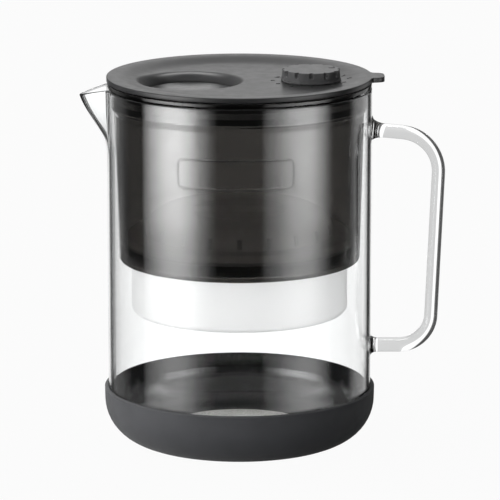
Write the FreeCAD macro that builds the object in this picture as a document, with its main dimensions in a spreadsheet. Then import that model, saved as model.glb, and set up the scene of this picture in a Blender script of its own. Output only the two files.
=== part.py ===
import FreeCAD, Part
import math
import os

import Sketcher

Vector = FreeCAD.Vector

# Driving sizes in millimetres, degrees and counts. +Z is up from the table, the spout points to -X
# and the handle to +X.
SIZES = {
    # Glass body
    "jug_radius": 66.0,
    "jug_height": 177.7,
    "glass_wall": 1.9,
    "glass_floor": 3.0,
    "glass_corner": 20.0,
    # Spout: how far each section's apex stands out, and how far it lies below the rim
    "spout_base_inset": 8.0,
    "spout_half_width": 15.5,
    "spout_tip_round": 3.0,
    "spout_root_drop": 33.3,
    "spout_root_out": -0.4,
    "spout_throat_drop": 25.0,
    "spout_throat_out": 3.8,
    "spout_upper_drop": 13.6,
    "spout_upper_out": 12.5,
    "spout_lip_out": 19.3,
    "spout_droop": 4.1,
    "spout_droop_run": 17.6,
    # Glass handle
    "handle_thick": 6.6,
    "handle_width": 9.0,
    "handle_round": 3.1,
    "handle_top_drop": 21.9,
    "handle_top_fall": 3.3,
    "handle_top_reach": 34.2,
    "handle_foot_height": 48.0,
    "handle_foot_reach": 29.6,
    "handle_top_bend": 20.0,
    "handle_foot_bend": 16.0,
    "weld_length": 6.5,
    "weld_depth": 5.0,
    "weld_grow": 3.2,
    "weld_sink": 0.5,
    # Silicone boot
    "boot_floor": 2.6,
    "boot_height": 27.9,
    "boot_flare": 2.0,
    "boot_taper": 0.6,
    "boot_corner_wall": 1.9,
    "boot_lip_height": 1.7,
    "boot_lip_width": 0.8,
    "boot_lip_round": 0.7,
    "boot_fit": 0.15,
    # Hopper tank
    "rim_seat_gap": 0.3,
    "flange_thick": 2.2,
    "flange_round": 0.5,
    "collar_gap": 0.4,
    "collar_wall": 1.7,
    "collar_depth": 9.5,
    "step_height": 4.2,
    "hopper_gap": 3.1,
    "hopper_taper": 2.0,
    "hopper_depth": 87.4,
    "hopper_wall": 1.7,
    "hopper_floor": 2.4,
    "hopper_round": 2.4,
    "seat_height": 7.8,
    "seat_wall": 1.5,
    "seat_clear": 0.6,
    # Filter cartridge
    "cartridge_drop": 26.5,
    "cartridge_wall": 1.6,
    "cartridge_floor": 2.0,
    "cartridge_round": 3.5,
    "cartridge_flange_clear": 0.8,
    "cartridge_flange_width": 2.4,
    "cartridge_flange": 2.0,
    "seal_seat_gap": 0.3,
    "seal_thick": 1.6,
    "seal_inset": 0.2,
    "cap_flange": 1.6,
    "cap_inset": 7.1,
    "cap_rise": 11.0,
    "cap_round": 9.5,
    "cap_wall": 1.8,
    "grip_recess_radius": 24.0,
    "grip_recess_depth": 8.0,
    "grip_width": 12.0,
    "inlet_slot_count": 20,
    "inlet_slot_width": 2.4,
    "inlet_slot_height": 5.0,
    "outlet_hole_count": 12,
    "outlet_hole_radius": 2.2,
    "outlet_ring_count": 3,
    "outlet_edge_gap": 10.5,
    "screen_thick": 0.6,
    "resin_depth": 12.0,
    "fibre_depth": 4.0,
    "bed_headroom": 3.0,
    "bed_clear": 0.3,
    # Lid
    "lid_seat_gap": 0.35,
    "lid_overhang": 0.2,
    "lid_edge": 2.5,
    "lid_edge_round": 0.8,
    "lid_rim_width": 6.2,
    "lid_slope_width": 10.0,
    "lid_dish": 2.6,
    "lid_blend": 28.0,
    "lid_plate": 2.4,
    "tab_reach": 6.0,
    "tab_width": 15.0,
    "tab_round": 4.0,
    "tab_root_spread": 4.0,
    "skirt_gap": 0.5,
    "skirt_wall": 1.8,
    "skirt_clear": 0.3,
    "gasket_height": 3.0,
    "gasket_depth": 0.9,
    "gasket_stand": 0.2,
    "gasket_rise": 3.0,
    # Fill funnel and its flap
    "fill_radius": 27.8,
    "fill_edge_gap": 13.9,
    "funnel_run": 6.2,
    "funnel_depth": 4.4,
    "funnel_lip": 1.5,
    "funnel_wall": 2.0,
    "flap_gap": 0.35,
    "flap_overlap": 1.8,
    "flap_plate": 1.8,
    "flap_edge_round": 0.45,
    "flap_crown": 0.8,
    "flap_crown_blend": 120.0,
    "flap_seal_thick": 1.0,
    "flap_seal_fit": 0.1,
    "flap_seat_gap": 0.3,
    "hinge_offset": 2.8,
    "knuckle_radius": 2.4,
    "knuckle_length": 5.0,
    "knuckle_gap": 0.4,
    "spring_room": 7.2,
    "ear_thick": 3.0,
    "ear_radius": 2.6,
    "pin_radius": 1.0,
    "pin_clear": 0.05,
    "pin_ear_fit": 0.03,
    "pin_stand": 0.5,
    "spring_radius": 1.55,
    "spring_wire": 0.6,
    "spring_pitch": 1.1,
    "spring_turns": 4,
    "spring_flap_leg": 8.0,
    "spring_lid_leg": 3.6,
    # Reminder dial
    "dial_radius": 14.3,
    "dial_height": 6.25,
    "dial_edge_gap": 16.3,
    "dial_seat_gap": 0.3,
    "dial_step": 0.5,
    "dial_step_height": 1.0,
    "dial_step_round": 0.25,
    "dial_round": 0.9,
    "dial_stem_radius": 4.0,
    "dial_stem_clear": 0.05,
    "notch_count": 12,
    "notch_radius": 1.15,
    "notch_rise": 1.9,
    "notch_floor_round": 0.9,
    "retainer_radius": 8.0,
    "retainer_thick": 1.2,
    "retainer_gap": 0.3,
    "retainer_notch": 0.8,
    "screw_radius": 1.25,
    "screw_clear": 0.1,
    "screw_length": 6.0,
    "screw_head_radius": 2.4,
    "screw_head": 1.6,
    "screw_head_round": 0.5,
    "screw_slot": 0.7,
    "pointer_angle": 27.0,
    "pointer_radius": 9.2,
    "pointer_length": 3.4,
    "pointer_width": 1.2,
    "pointer_depth": 0.6,
    "pointer_stand": 0.15,
    "pointer_fit": 0.05,
    "leaf_thick": 0.5,
    "leaf_gap": 0.3,
    "leaf_length": 12.0,
    "leaf_tip_reach": 4.0,
    "leaf_foot": 3.0,
}

# How far a cutting profile runs past the material that it cuts
CUT_PAST = 2.0

DOCUMENT = FreeCAD.newDocument("pitcher")
SHEET = DOCUMENT.addObject("Spreadsheet::Sheet", "Dims")
for row, (alias, number) in enumerate(SIZES.items(), start=1):
    SHEET.set(f"A{row}", alias)
    SHEET.set(f"B{row}", str(number))
    SHEET.setAlias(f"B{row}", alias)
DOCUMENT.recompute()


class Size:
    """A number together with the sheet expression that gives it."""

    def __init__(self, value, text):
        self.value = float(value)
        self.text = text

    @classmethod
    def wrap(cls, other):
        if isinstance(other, cls):
            return other
        return cls(other, repr(float(other)))

    def __add__(self, other):
        other = Size.wrap(other)
        return Size(self.value + other.value, f"({self.text} + {other.text})")

    def __sub__(self, other):
        other = Size.wrap(other)
        return Size(self.value - other.value, f"({self.text} - {other.text})")

    def __mul__(self, other):
        other = Size.wrap(other)
        return Size(self.value * other.value, f"({self.text} * {other.text})")

    def __truediv__(self, other):
        other = Size.wrap(other)
        return Size(self.value / other.value, f"({self.text} / {other.text})")

    def __neg__(self):
        return Size(0.0, "0.0") - self

    def root(self):
        return Size(math.sqrt(self.value), f"sqrt({self.text})")

    def cosine(self):
        return Size(math.cos(math.radians(self.value)), f"cos({self.text} * 1 deg)")

    def sine(self):
        return Size(math.sin(math.radians(self.value)), f"sin({self.text} * 1 deg)")


class SheetSizes:
    """Gives each alias of the sheet as a Size."""

    def __getattr__(self, alias):
        return Size(SHEET.get(alias), f"Dims.{alias}")


dim = SheetSizes()

# Heights, from the table up
rim_z = dim.boot_floor + dim.jug_height
glass_floor_z = dim.boot_floor + dim.glass_floor
flange_low = rim_z + dim.rim_seat_gap
flange_high = flange_low + dim.flange_thick
collar_low = flange_low - dim.collar_depth
step_low = collar_low - dim.step_height
hopper_low = rim_z - dim.hopper_depth
hopper_floor_z = hopper_low + dim.hopper_floor
seat_high = hopper_low + dim.seat_height
cartridge_low = hopper_low - dim.cartridge_drop
seal_low = seat_high + dim.seal_seat_gap
seal_high = seal_low + dim.seal_thick
shell_high = seal_high + dim.cartridge_flange
cap_flange_high = shell_high + dim.cap_flange
cap_high = cap_flange_high + dim.cap_rise
recess_z = cap_high - dim.grip_recess_depth
lid_low = flange_high + dim.lid_seat_gap
lid_high = lid_low + dim.lid_edge
flat_z = lid_high - dim.lid_dish
plate_low = flat_z - dim.lid_plate
skirt_low = collar_low + dim.skirt_clear
funnel_z = flat_z - dim.funnel_depth
lip_low = funnel_z - dim.funnel_lip
flap_seal_high = lip_low - dim.flap_seat_gap
flap_high = flap_seal_high - dim.flap_seal_thick
flap_low = flap_high - dim.flap_plate
hinge_z = (flap_low + flap_high) / 2
knob_low = flat_z + dim.dial_seat_gap
knob_high = knob_low + dim.dial_height
stem_low = plate_low - dim.retainer_gap
retainer_low = stem_low - dim.retainer_thick

# Radii about the jug's axis
bore_r = dim.jug_radius - dim.glass_wall
collar_r = bore_r - dim.collar_gap
mouth_r = collar_r - dim.collar_wall
hopper_high_r = bore_r - dim.hopper_gap
hopper_low_r = hopper_high_r - dim.hopper_taper
cartridge_flange_r = hopper_low_r - dim.hopper_wall - dim.cartridge_flange_clear
shell_r = cartridge_flange_r - dim.cartridge_flange_width
shell_bore_r = shell_r - dim.cartridge_wall
seat_r = shell_r + dim.seat_clear
cap_r = shell_r - dim.cap_inset
lid_r = dim.jug_radius + dim.lid_overhang
lid_slope_r = lid_r - dim.lid_rim_width
lid_flat_r = lid_slope_r - dim.lid_slope_width
skirt_r = mouth_r - dim.skirt_gap

# Fill funnel, flap hinge and dial, as places along X
throat_r = dim.fill_radius - dim.funnel_run
plug_r = throat_r - dim.flap_gap
flap_r = throat_r + dim.flap_overlap
fill_x = dim.fill_edge_gap + dim.fill_radius - lid_r
hinge_reach = flap_r + dim.hinge_offset
hinge_x = fill_x + hinge_reach
knuckle_out = dim.spring_room / 2 + dim.knuckle_length
ear_in = knuckle_out + dim.knuckle_gap
ear_out = ear_in + dim.ear_thick
dial_x = lid_r - dim.dial_edge_gap - dim.dial_radius

PARTS = []


def add_part(item, label):
    """Give a finished sub-part its label and put it on the list of parts."""
    item.Label = label
    PARTS.append(item)


def new_body(label, x=0.0):
    """Start a sub-part whose own axis stands at x."""
    body = DOCUMENT.addObject("PartDesign::Body", label)
    body.setExpression("Placement.Base.x", Size.wrap(x).text)
    add_part(body, label)
    return body


def origin_part(body, role):
    return next(part for part in body.Origin.OriginFeatures if part.Role == role)


def new_sketch(body, name, plane, shift=(0.0, 0.0, 0.0)):
    """Start a sketch on one of the body's own planes, shifted in that plane's axes."""
    sketch = body.newObject("Sketcher::SketchObject", name)
    sketch.AttachmentSupport = (origin_part(body, plane), [""])
    sketch.MapMode = "FlatFace"
    for letter, amount in zip("xyz", shift):
        sketch.setExpression(f"AttachmentOffset.Base.{letter}", Size.wrap(amount).text)
    return sketch


def bind_constraint(sketch, constraint, size):
    index = sketch.addConstraint(constraint)
    sketch.setExpression(f"Constraints[{index}]", size.text)


def pin_point(sketch, geometry, end, u, v):
    """Hold one end of a sketch element at (u, v)."""
    for kind, axis, size in (("DistanceX", -2, u), ("DistanceY", -1, v)):
        if size.value == 0.0:
            sketch.addConstraint(Sketcher.Constraint("PointOnObject", geometry, end, axis))
        else:
            constraint = Sketcher.Constraint(kind, -1, 1, geometry, end, size.value)
            bind_constraint(sketch, constraint, size)


def corner_tangents(points, corners, index, closed):
    """Where the rounding of one corner begins and ends."""
    here = points[index]
    at_end = not closed and index in (0, len(points) - 1)
    if len(corners[index]) == 2 or at_end:
        return here, here
    back = points[index - 1].sub(here).normalize()
    ahead = points[(index + 1) % len(points)].sub(here).normalize()
    reach = corners[index][2].value / math.tan(back.getAngle(ahead) / 2)
    return here + back * reach, here + ahead * reach


def round_corner(sketch, before, after, corner, begin, finish):
    """Join two lines with a tangent arc of the corner's radius, and hold the corner itself."""
    u, v, radius = corner
    here = Vector(u.value, v.value, 0)
    inward = (begin - here) + (finish - here)
    reach = math.hypot(radius.value, (begin - here).Length)
    centre = here + inward.normalize() * reach
    left_turn = (here - begin).cross(finish - here).z > 0
    first, last = (begin, finish) if left_turn else (finish, begin)
    angles = [math.atan2(point.y - centre.y, point.x - centre.x) for point in (first, last)]
    if angles[1] < angles[0]:
        angles[1] += 2 * math.pi
    circle = Part.Circle(centre, Vector(0, 0, 1), radius.value)
    arc = sketch.addGeometry(Part.ArcOfCircle(circle, angles[0], angles[1]))
    begin_end, finish_end = (1, 2) if left_turn else (2, 1)
    sketch.addConstraint(Sketcher.Constraint("Tangent", before, 2, arc, begin_end))
    sketch.addConstraint(Sketcher.Constraint("Tangent", arc, finish_end, after, 1))
    bind_constraint(sketch, Sketcher.Constraint("Radius", arc, radius.value), radius)
    point = sketch.addGeometry(Part.Point(here), True)
    sketch.addConstraint(Sketcher.Constraint("PointOnObject", point, 1, before))
    sketch.addConstraint(Sketcher.Constraint("PointOnObject", point, 1, after))
    pin_point(sketch, point, 1, u, v)


def draw_outline(sketch, corners, closed=True):
    """Draw lines through corners given as (u, v), or (u, v, radius) where the corner is round."""
    corners = [tuple(Size.wrap(number) for number in corner) for corner in corners]
    points = [Vector(corner[0].value, corner[1].value, 0) for corner in corners]
    count = len(points)
    tangents = [corner_tangents(points, corners, index, closed) for index in range(count)]
    line_count = count if closed else count - 1
    lines = []
    for index in range(line_count):
        segment = Part.LineSegment(tangents[index][1], tangents[(index + 1) % count][0])
        lines.append(sketch.addGeometry(segment))
    for index, corner in enumerate(corners):
        if not closed and index == 0:
            pin_point(sketch, lines[0], 1, corner[0], corner[1])
        elif not closed and index == count - 1:
            pin_point(sketch, lines[-1], 2, corner[0], corner[1])
        elif len(corner) == 2:
            joint = Sketcher.Constraint("Coincident", lines[index - 1], 2, lines[index], 1)
            sketch.addConstraint(joint)
            pin_point(sketch, lines[index], 1, corner[0], corner[1])
        else:
            round_corner(sketch, lines[index - 1], lines[index], corner, *tangents[index])


def draw_circle(sketch, u, v, radius):
    u, v, radius = Size.wrap(u), Size.wrap(v), Size.wrap(radius)
    centre = Vector(u.value, v.value, 0)
    circle = sketch.addGeometry(Part.Circle(centre, Vector(0, 0, 1), radius.value))
    pin_point(sketch, circle, 3, u, v)
    bind_constraint(sketch, Sketcher.Constraint("Radius", circle, radius.value), radius)


def rectangle(u_low, u_high, v_low, v_high, radius=None):
    """The four corners of an upright rectangle, round where a radius is given."""
    corners = [(u_low, v_low), (u_high, v_low), (u_high, v_high), (u_low, v_high)]
    if radius is None:
        return corners
    return [(u, v, radius) for u, v in corners]


def turned(body, name, corners, kind="Revolution", axis_x=0.0):
    """Add or cut (kind "Groove") an (r, z) outline turned about the upright axis at axis_x."""
    sketch = new_sketch(body, f"{name}_outline", "XZ_Plane", (axis_x, 0.0, 0.0))
    draw_outline(sketch, corners)
    feature = body.newObject(f"PartDesign::{kind}", name)
    feature.Profile = sketch
    feature.ReferenceAxis = (sketch, ["V_Axis"])
    feature.Angle = 360
    return feature


def ring(label, low, high, inner, outer, x=0.0):
    """A sub-part that is one ring or disc of rectangular section."""
    body = new_body(label, x)
    turned(body, f"{label}_ring", rectangle(inner, outer, low, high))
    return body


def padded(body, name, sketch, length, kind="Pad", side="Symmetric", backward=False):
    """Extrude a sketch: a Pad adds and a Pocket cuts."""
    length = Size.wrap(length)
    feature = body.newObject(f"PartDesign::{kind}", name)
    feature.Profile = sketch
    feature.SideType = side
    feature.Reversed = backward
    feature.Length = length.value
    feature.setExpression("Length", length.text)
    return feature


def around(body, name, originals, count):
    """Repeat features evenly about the body's upright axis."""
    pattern = body.newObject("PartDesign::PolarPattern", name)
    pattern.Originals = originals
    pattern.Axis = (origin_part(body, "Z_Axis"), [""])
    pattern.Angle = 360
    pattern.Occurrences = int(count.value)
    pattern.setExpression("Occurrences", count.text)
    body.Tip = pattern
    return pattern


def lofted(body, name, kind, sketches):
    loft = body.newObject(f"PartDesign::{kind}", name)
    loft.Profile = sketches[0]
    loft.Sections = sketches[1:]
    return loft


# Glass body


def spout_sections(body, name, wall):
    """Level wedges from the spout's root up past its lip, drawn in by the wall for the inside."""
    base_u = dim.jug_radius - dim.spout_base_inset
    tip_round = dim.spout_tip_round - wall
    levels = (
        (dim.spout_root_drop, dim.spout_root_out),
        (dim.spout_throat_drop, dim.spout_throat_out),
        (dim.spout_upper_drop, dim.spout_upper_out),
        (Size.wrap(0.0), dim.spout_lip_out),
    )
    sketches = []
    for number, (drop, out) in enumerate(levels):
        run = out + dim.spout_base_inset
        side = (run * run + dim.spout_half_width * dim.spout_half_width).root()
        half = dim.spout_half_width - wall * side / run
        apex = dim.jug_radius + out - wall * side / dim.spout_half_width
        sketch = new_sketch(body, f"{name}_{number}", "XY_Plane", (0.0, 0.0, rim_z - drop))
        draw_outline(sketch, [(-base_u, -half), (-base_u, half), (-apex, 0.0, tip_round)])
        sketches.append(sketch)
    return sketches


def make_glass_jug():
    body = new_body("glass_jug")
    inner_corner = dim.glass_corner - dim.glass_wall
    turned(body, "jug_outside", [
        (0.0, dim.boot_floor),
        (dim.jug_radius, dim.boot_floor, dim.glass_corner),
        (dim.jug_radius, rim_z),
        (0.0, rim_z),
    ])
    lofted(body, "spout_outside", "AdditiveLoft", spout_sections(body, "spout_out", Size.wrap(0.0)))
    turned(body, "jug_inside", [
        (0.0, glass_floor_z),
        (bore_r, glass_floor_z, inner_corner),
        (bore_r, rim_z + CUT_PAST),
        (0.0, rim_z + CUT_PAST),
    ], kind="Groove")
    lofted(body, "spout_inside", "SubtractiveLoft", spout_sections(body, "spout_in", dim.glass_wall))
    droop_start = dim.jug_radius + dim.spout_lip_out - dim.spout_droop_run - CUT_PAST
    droop_end = dim.jug_radius + dim.spout_lip_out + CUT_PAST
    droop_slope = dim.spout_droop / dim.spout_droop_run
    droop_low = rim_z - (droop_end - droop_start) * droop_slope
    sketch = new_sketch(body, "lip_droop_outline", "XZ_Plane")
    draw_outline(sketch, [
        (-droop_start, rim_z),
        (-droop_end, droop_low),
        (-droop_end, rim_z + CUT_PAST),
        (-droop_start, rim_z + CUT_PAST),
    ])
    padded(body, "lip_droop", sketch, dim.jug_radius * 2, kind="Pocket")


def weld(body, name, height):
    """The glass that flares from the handle's rod into the body's wall."""
    sketches = []
    for number, (x, grow) in enumerate((
        (dim.jug_radius - dim.weld_depth, dim.weld_grow),
        (dim.jug_radius + dim.weld_length, -dim.weld_sink),
    )):
        half_y = dim.handle_width / 2 + grow
        half_z = dim.handle_thick / 2 + grow
        sketch = new_sketch(body, f"{name}_{number}", "YZ_Plane", (0.0, 0.0, x))
        draw_outline(sketch, rectangle(
            -half_y, half_y, height - half_z, height + half_z, dim.handle_round + grow))
        sketches.append(sketch)
    lofted(body, name, "AdditiveLoft", sketches)


def make_glass_handle():
    body = new_body("glass_handle")
    inside = dim.jug_radius - dim.weld_depth
    upper_z = rim_z - dim.handle_top_drop
    spine = new_sketch(body, "handle_path", "XZ_Plane")
    draw_outline(spine, [
        (inside, upper_z),
        (dim.jug_radius + dim.handle_top_reach, upper_z - dim.handle_top_fall, dim.handle_top_bend),
        (dim.jug_radius + dim.handle_foot_reach, dim.handle_foot_height, dim.handle_foot_bend),
        (inside, dim.handle_foot_height),
    ], closed=False)
    section = new_sketch(body, "handle_section", "YZ_Plane", (0.0, 0.0, inside))
    draw_outline(section, rectangle(
        -dim.handle_width / 2, dim.handle_width / 2,
        upper_z - dim.handle_thick / 2, upper_z + dim.handle_thick / 2, dim.handle_round))
    rod = body.newObject("PartDesign::AdditivePipe", "handle_rod")
    rod.Profile = section
    rod.Spine = (spine, [""])
    weld(body, "upper_weld", upper_z)
    weld(body, "lower_weld", dim.handle_foot_height)
    turned(body, "wall_trim", rectangle(0.0, dim.jug_radius, 0.0, rim_z), kind="Groove")


def make_silicone_boot():
    body = new_body("silicone_boot")
    inner_r = dim.jug_radius + dim.boot_fit
    outer_r = dim.jug_radius + dim.boot_flare
    shoulder_z = dim.boot_height - dim.boot_lip_height
    turned(body, "boot_wall", [
        (0.0, 0.0),
        (outer_r - dim.boot_taper, 0.0, dim.glass_corner + dim.boot_corner_wall),
        (outer_r, shoulder_z, dim.boot_lip_round),
        (dim.jug_radius + dim.boot_lip_width, dim.boot_height),
        (inner_r, dim.boot_height),
        (inner_r, dim.boot_floor, dim.glass_corner + dim.boot_fit),
        (0.0, dim.boot_floor),
    ])


# Hopper and cartridge


def make_hopper_tank():
    body = new_body("hopper_tank")
    turned(body, "tank_wall", [
        (seat_r, hopper_low),
        (hopper_low_r, hopper_low, dim.hopper_round),
        (hopper_high_r, step_low),
        (collar_r, collar_low),
        (collar_r, flange_low),
        (dim.jug_radius, flange_low),
        (dim.jug_radius, flange_high, dim.flange_round),
        (mouth_r, flange_high, dim.flange_round),
        (mouth_r, collar_low - dim.hopper_wall / 2),
        (hopper_high_r - dim.hopper_wall, step_low - dim.hopper_wall / 2),
        (hopper_low_r - dim.hopper_wall, hopper_floor_z),
        (seat_r + dim.seat_wall, hopper_floor_z),
        (seat_r + dim.seat_wall, seat_high),
        (seat_r, seat_high),
    ])


def make_cartridge_shell():
    body = new_body("cartridge_shell")
    floor_z = cartridge_low + dim.cartridge_floor
    turned(body, "shell_cup", [
        (0.0, cartridge_low),
        (shell_r, cartridge_low, dim.cartridge_round),
        (shell_r, seal_high),
        (cartridge_flange_r, seal_high),
        (cartridge_flange_r, shell_high),
        (shell_bore_r, shell_high),
        (shell_bore_r, floor_z, dim.cartridge_round - dim.cartridge_wall),
        (0.0, floor_z),
    ])
    sketch = new_sketch(body, "outlet_holes", "XY_Plane", (0.0, 0.0, cartridge_low))
    pitch = (shell_bore_r - dim.outlet_edge_gap) / dim.outlet_ring_count
    for step in range(int(dim.outlet_ring_count.value)):
        draw_circle(sketch, pitch * (step + 1), 0.0, dim.outlet_hole_radius)
    outlet = padded(body, "outlet_spoke", sketch, dim.cartridge_floor * 2, kind="Pocket")
    around(body, "outlet_grid", [outlet], dim.outlet_hole_count)


def make_cartridge_cap():
    body = new_body("cartridge_cap")
    wall = dim.cap_wall
    recess_r = dim.grip_recess_radius
    turned(body, "cap_dome", [
        (cartridge_flange_r, shell_high),
        (cartridge_flange_r, cap_flange_high),
        (cap_r, cap_flange_high),
        (cap_r, cap_high, dim.cap_round),
        (recess_r, cap_high),
        (recess_r, recess_z),
        (0.0, recess_z),
        (0.0, recess_z - wall),
        (recess_r + wall, recess_z - wall),
        (recess_r + wall, cap_high - wall),
        (cap_r - wall, cap_high - wall, dim.cap_round - wall),
        (cap_r - wall, shell_high),
    ])
    sketch = new_sketch(body, "grip_outline", "YZ_Plane")
    half = dim.grip_width / 2
    draw_outline(sketch, rectangle(-half, half, recess_z - wall / 2, cap_high))
    padded(body, "grip_bar", sketch, (recess_r + wall / 2) * 2)
    slot_low = cap_flange_high + wall / 2
    half_slot = dim.inlet_slot_width / 2
    sketch = new_sketch(body, "inlet_outline", "XZ_Plane", (0.0, 0.0, recess_r + wall * 2))
    draw_outline(sketch, rectangle(-half_slot, half_slot, slot_low, slot_low + dim.inlet_slot_height))
    inlet = padded(body, "inlet_slot", sketch, cap_r, kind="Pocket", side="One side", backward=True)
    around(body, "inlet_ring", [inlet], dim.inlet_slot_count)


def make_filter_bed():
    """The layers of the bed, from the floor up, each lying on the one below."""
    bed_r = shell_bore_r - dim.bed_clear
    bed_low = cartridge_low + dim.cartridge_floor
    other_layers = dim.screen_thick * 2 + dim.resin_depth + dim.fibre_depth
    carbon_depth = shell_high - bed_low - dim.bed_headroom - other_layers
    corner = dim.cartridge_round - dim.cartridge_wall
    level = bed_low
    for label, depth, inset in (
        ("outlet_screen", dim.screen_thick, corner),
        ("resin_media", dim.resin_depth, corner),
        ("carbon_media", carbon_depth, Size.wrap(0.0)),
        ("fibre_pad", dim.fibre_depth, Size.wrap(0.0)),
        ("inlet_screen", dim.screen_thick, Size.wrap(0.0)),
    ):
        ring(label, level, level + depth, 0.0, bed_r - inset)
        level = level + depth


def make_cartridge_seal():
    inner = shell_r + dim.seal_inset
    outer = cartridge_flange_r - dim.seal_inset
    ring("cartridge_seal", seal_low, seal_high, inner, outer)


# Lid


def make_lid_top():
    body = new_body("lid_top")
    under_r = lid_flat_r + dim.lid_plate
    turned(body, "lid_disc", [
        (0.0, plate_low),
        (under_r, plate_low),
        (lid_slope_r - dim.lid_plate, lid_low),
        (lid_r, lid_low, dim.lid_edge_round),
        (lid_r, lid_high, dim.lid_edge_round),
        (lid_slope_r, lid_high, dim.lid_blend),
        (lid_flat_r, flat_z, dim.lid_blend),
        (0.0, flat_z),
    ])
    half_tab = dim.tab_width / 2
    tab_end = lid_r + dim.tab_reach
    tab_root = lid_r - dim.tab_reach
    sketch = new_sketch(body, "tab_outline", "XY_Plane", (0.0, 0.0, lid_low))
    draw_outline(sketch, [
        (tab_root, -half_tab - dim.tab_root_spread),
        (lid_r, -half_tab, dim.tab_round),
        (tab_end, -half_tab, dim.tab_round),
        (tab_end, half_tab, dim.tab_round),
        (lid_r, half_tab, dim.tab_round),
        (tab_root, half_tab + dim.tab_root_spread),
    ])
    padded(body, "thumb_tab", sketch, dim.lid_edge, side="One side")
    turned(body, "funnel_wall", [
        (0.0, lip_low),
        (throat_r + dim.funnel_wall, lip_low),
        (dim.fill_radius + dim.funnel_wall, plate_low),
        (dim.fill_radius + dim.funnel_wall, flat_z),
        (0.0, flat_z),
    ], axis_x=fill_x)
    ear_low = hinge_z - dim.ear_radius
    ear_high = flat_z - dim.lid_plate / 2
    sketch = new_sketch(body, "ear_outline", "YZ_Plane", (0.0, 0.0, hinge_x))
    draw_outline(sketch, rectangle(ear_in, ear_out, ear_low, ear_high))
    draw_outline(sketch, rectangle(-ear_out, -ear_in, ear_low, ear_high))
    padded(body, "hinge_ears", sketch, dim.ear_radius * 2)
    rise = CUT_PAST / dim.funnel_depth.value
    turned(body, "funnel_hole", [
        (0.0, lip_low - CUT_PAST),
        (throat_r, lip_low - CUT_PAST),
        (throat_r, funnel_z),
        (dim.fill_radius + dim.funnel_run * rise, flat_z + dim.funnel_depth * rise),
        (0.0, flat_z + dim.funnel_depth * rise),
    ], kind="Groove", axis_x=fill_x)
    sketch = new_sketch(body, "pin_bore_outline", "XZ_Plane")
    draw_circle(sketch, hinge_x, hinge_z, dim.pin_radius + dim.pin_ear_fit)
    padded(body, "pin_bores", sketch, (ear_out + CUT_PAST) * 2, kind="Pocket")
    sketch = new_sketch(body, "stem_hole_outline", "XY_Plane", (0.0, 0.0, plate_low))
    draw_circle(sketch, dial_x, 0.0, dim.dial_stem_radius + dim.dial_stem_clear)
    padded(body, "stem_hole", sketch, (dim.lid_plate + CUT_PAST) * 2, kind="Pocket")


def gasket_levels():
    low = skirt_low + dim.gasket_rise
    return low, low + dim.gasket_height


def make_lid_liner():
    body = new_body("lid_liner")
    low, high = gasket_levels()
    groove_r = skirt_r - dim.gasket_depth
    turned(body, "skirt", [
        (skirt_r - dim.skirt_wall, skirt_low),
        (skirt_r, skirt_low),
        (skirt_r, low),
        (groove_r, low),
        (groove_r, high),
        (skirt_r, high),
        (skirt_r, lid_low),
        (skirt_r - dim.skirt_wall, lid_low),
    ])


def make_lid_gasket():
    low, high = gasket_levels()
    inner = skirt_r - dim.gasket_depth
    ring("lid_gasket", low, high, inner, skirt_r + dim.gasket_stand)


def make_fill_flap():
    body = new_body("fill_flap", fill_x)
    turned(body, "flap_disc", [
        (0.0, flap_low),
        (flap_r, flap_low, dim.flap_edge_round),
        (flap_r, flap_high),
        (plug_r, flap_high),
        (plug_r, funnel_z, dim.flap_edge_round),
        (plug_r / 2, funnel_z + dim.flap_crown, dim.flap_crown_blend),
        (0.0, funnel_z + dim.flap_crown),
    ])
    sketch = new_sketch(body, "arm_outline", "XZ_Plane")
    draw_outline(sketch, rectangle(plug_r, hinge_reach, flap_low, flap_high))
    padded(body, "hinge_arm", sketch, knuckle_out * 2)
    sketch = new_sketch(body, "knuckle_outline", "XZ_Plane")
    draw_circle(sketch, hinge_reach, hinge_z, dim.knuckle_radius)
    padded(body, "knuckle", sketch, knuckle_out * 2)
    sketch = new_sketch(body, "spring_gap_outline", "XZ_Plane")
    gap_end = hinge_reach + dim.knuckle_radius + CUT_PAST
    gap_low = hinge_z - dim.knuckle_radius - CUT_PAST
    gap_high = hinge_z + dim.knuckle_radius + CUT_PAST
    draw_outline(sketch, rectangle(flap_r, gap_end, gap_low, gap_high))
    padded(body, "spring_gap", sketch, dim.spring_room, kind="Pocket")
    sketch = new_sketch(body, "knuckle_bore_outline", "XZ_Plane")
    draw_circle(sketch, hinge_reach, hinge_z, dim.pin_radius + dim.pin_clear)
    padded(body, "knuckle_bore", sketch, (knuckle_out + CUT_PAST) * 2, kind="Pocket")


def make_flap_seal():
    inner = plug_r + dim.flap_seal_fit
    outer = flap_r - dim.flap_seal_fit
    ring("flap_seal", flap_high, flap_seal_high, inner, outer, fill_x)


def make_flap_pin():
    body = new_body("flap_pin", hinge_x)
    sketch = new_sketch(body, "pin_outline", "XZ_Plane")
    draw_circle(sketch, 0.0, hinge_z, dim.pin_radius)
    padded(body, "pin", sketch, (ear_out + dim.pin_stand) * 2)


def tangent_arc(first, corner, last):
    """The arc from first to last whose end tangents meet at corner."""
    middle = (first + last) * 0.5
    chord = (last - first).Length / 2
    cosine = chord / (corner - first).Length
    sine = math.sqrt(1 - cosine * cosine)
    radius = chord / sine
    toward = (middle - corner).normalize()
    return Part.Arc(first, corner + toward * (radius / cosine - radius), last).toShape()


def biarc(first, first_way, last, last_way):
    """Two tangent arcs that join two points and keep the direction at each."""
    span = last - first
    ways = first_way + last_way
    bend = 2 * (1 - first_way.dot(last_way))
    along = span.dot(ways)
    reach = (math.sqrt(along * along + bend * span.dot(span)) - along) / bend
    near = first + first_way * reach
    far = last - last_way * reach
    middle = (near + far) * 0.5
    return [tangent_arc(first, near, middle), tangent_arc(middle, far, last)]


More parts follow.
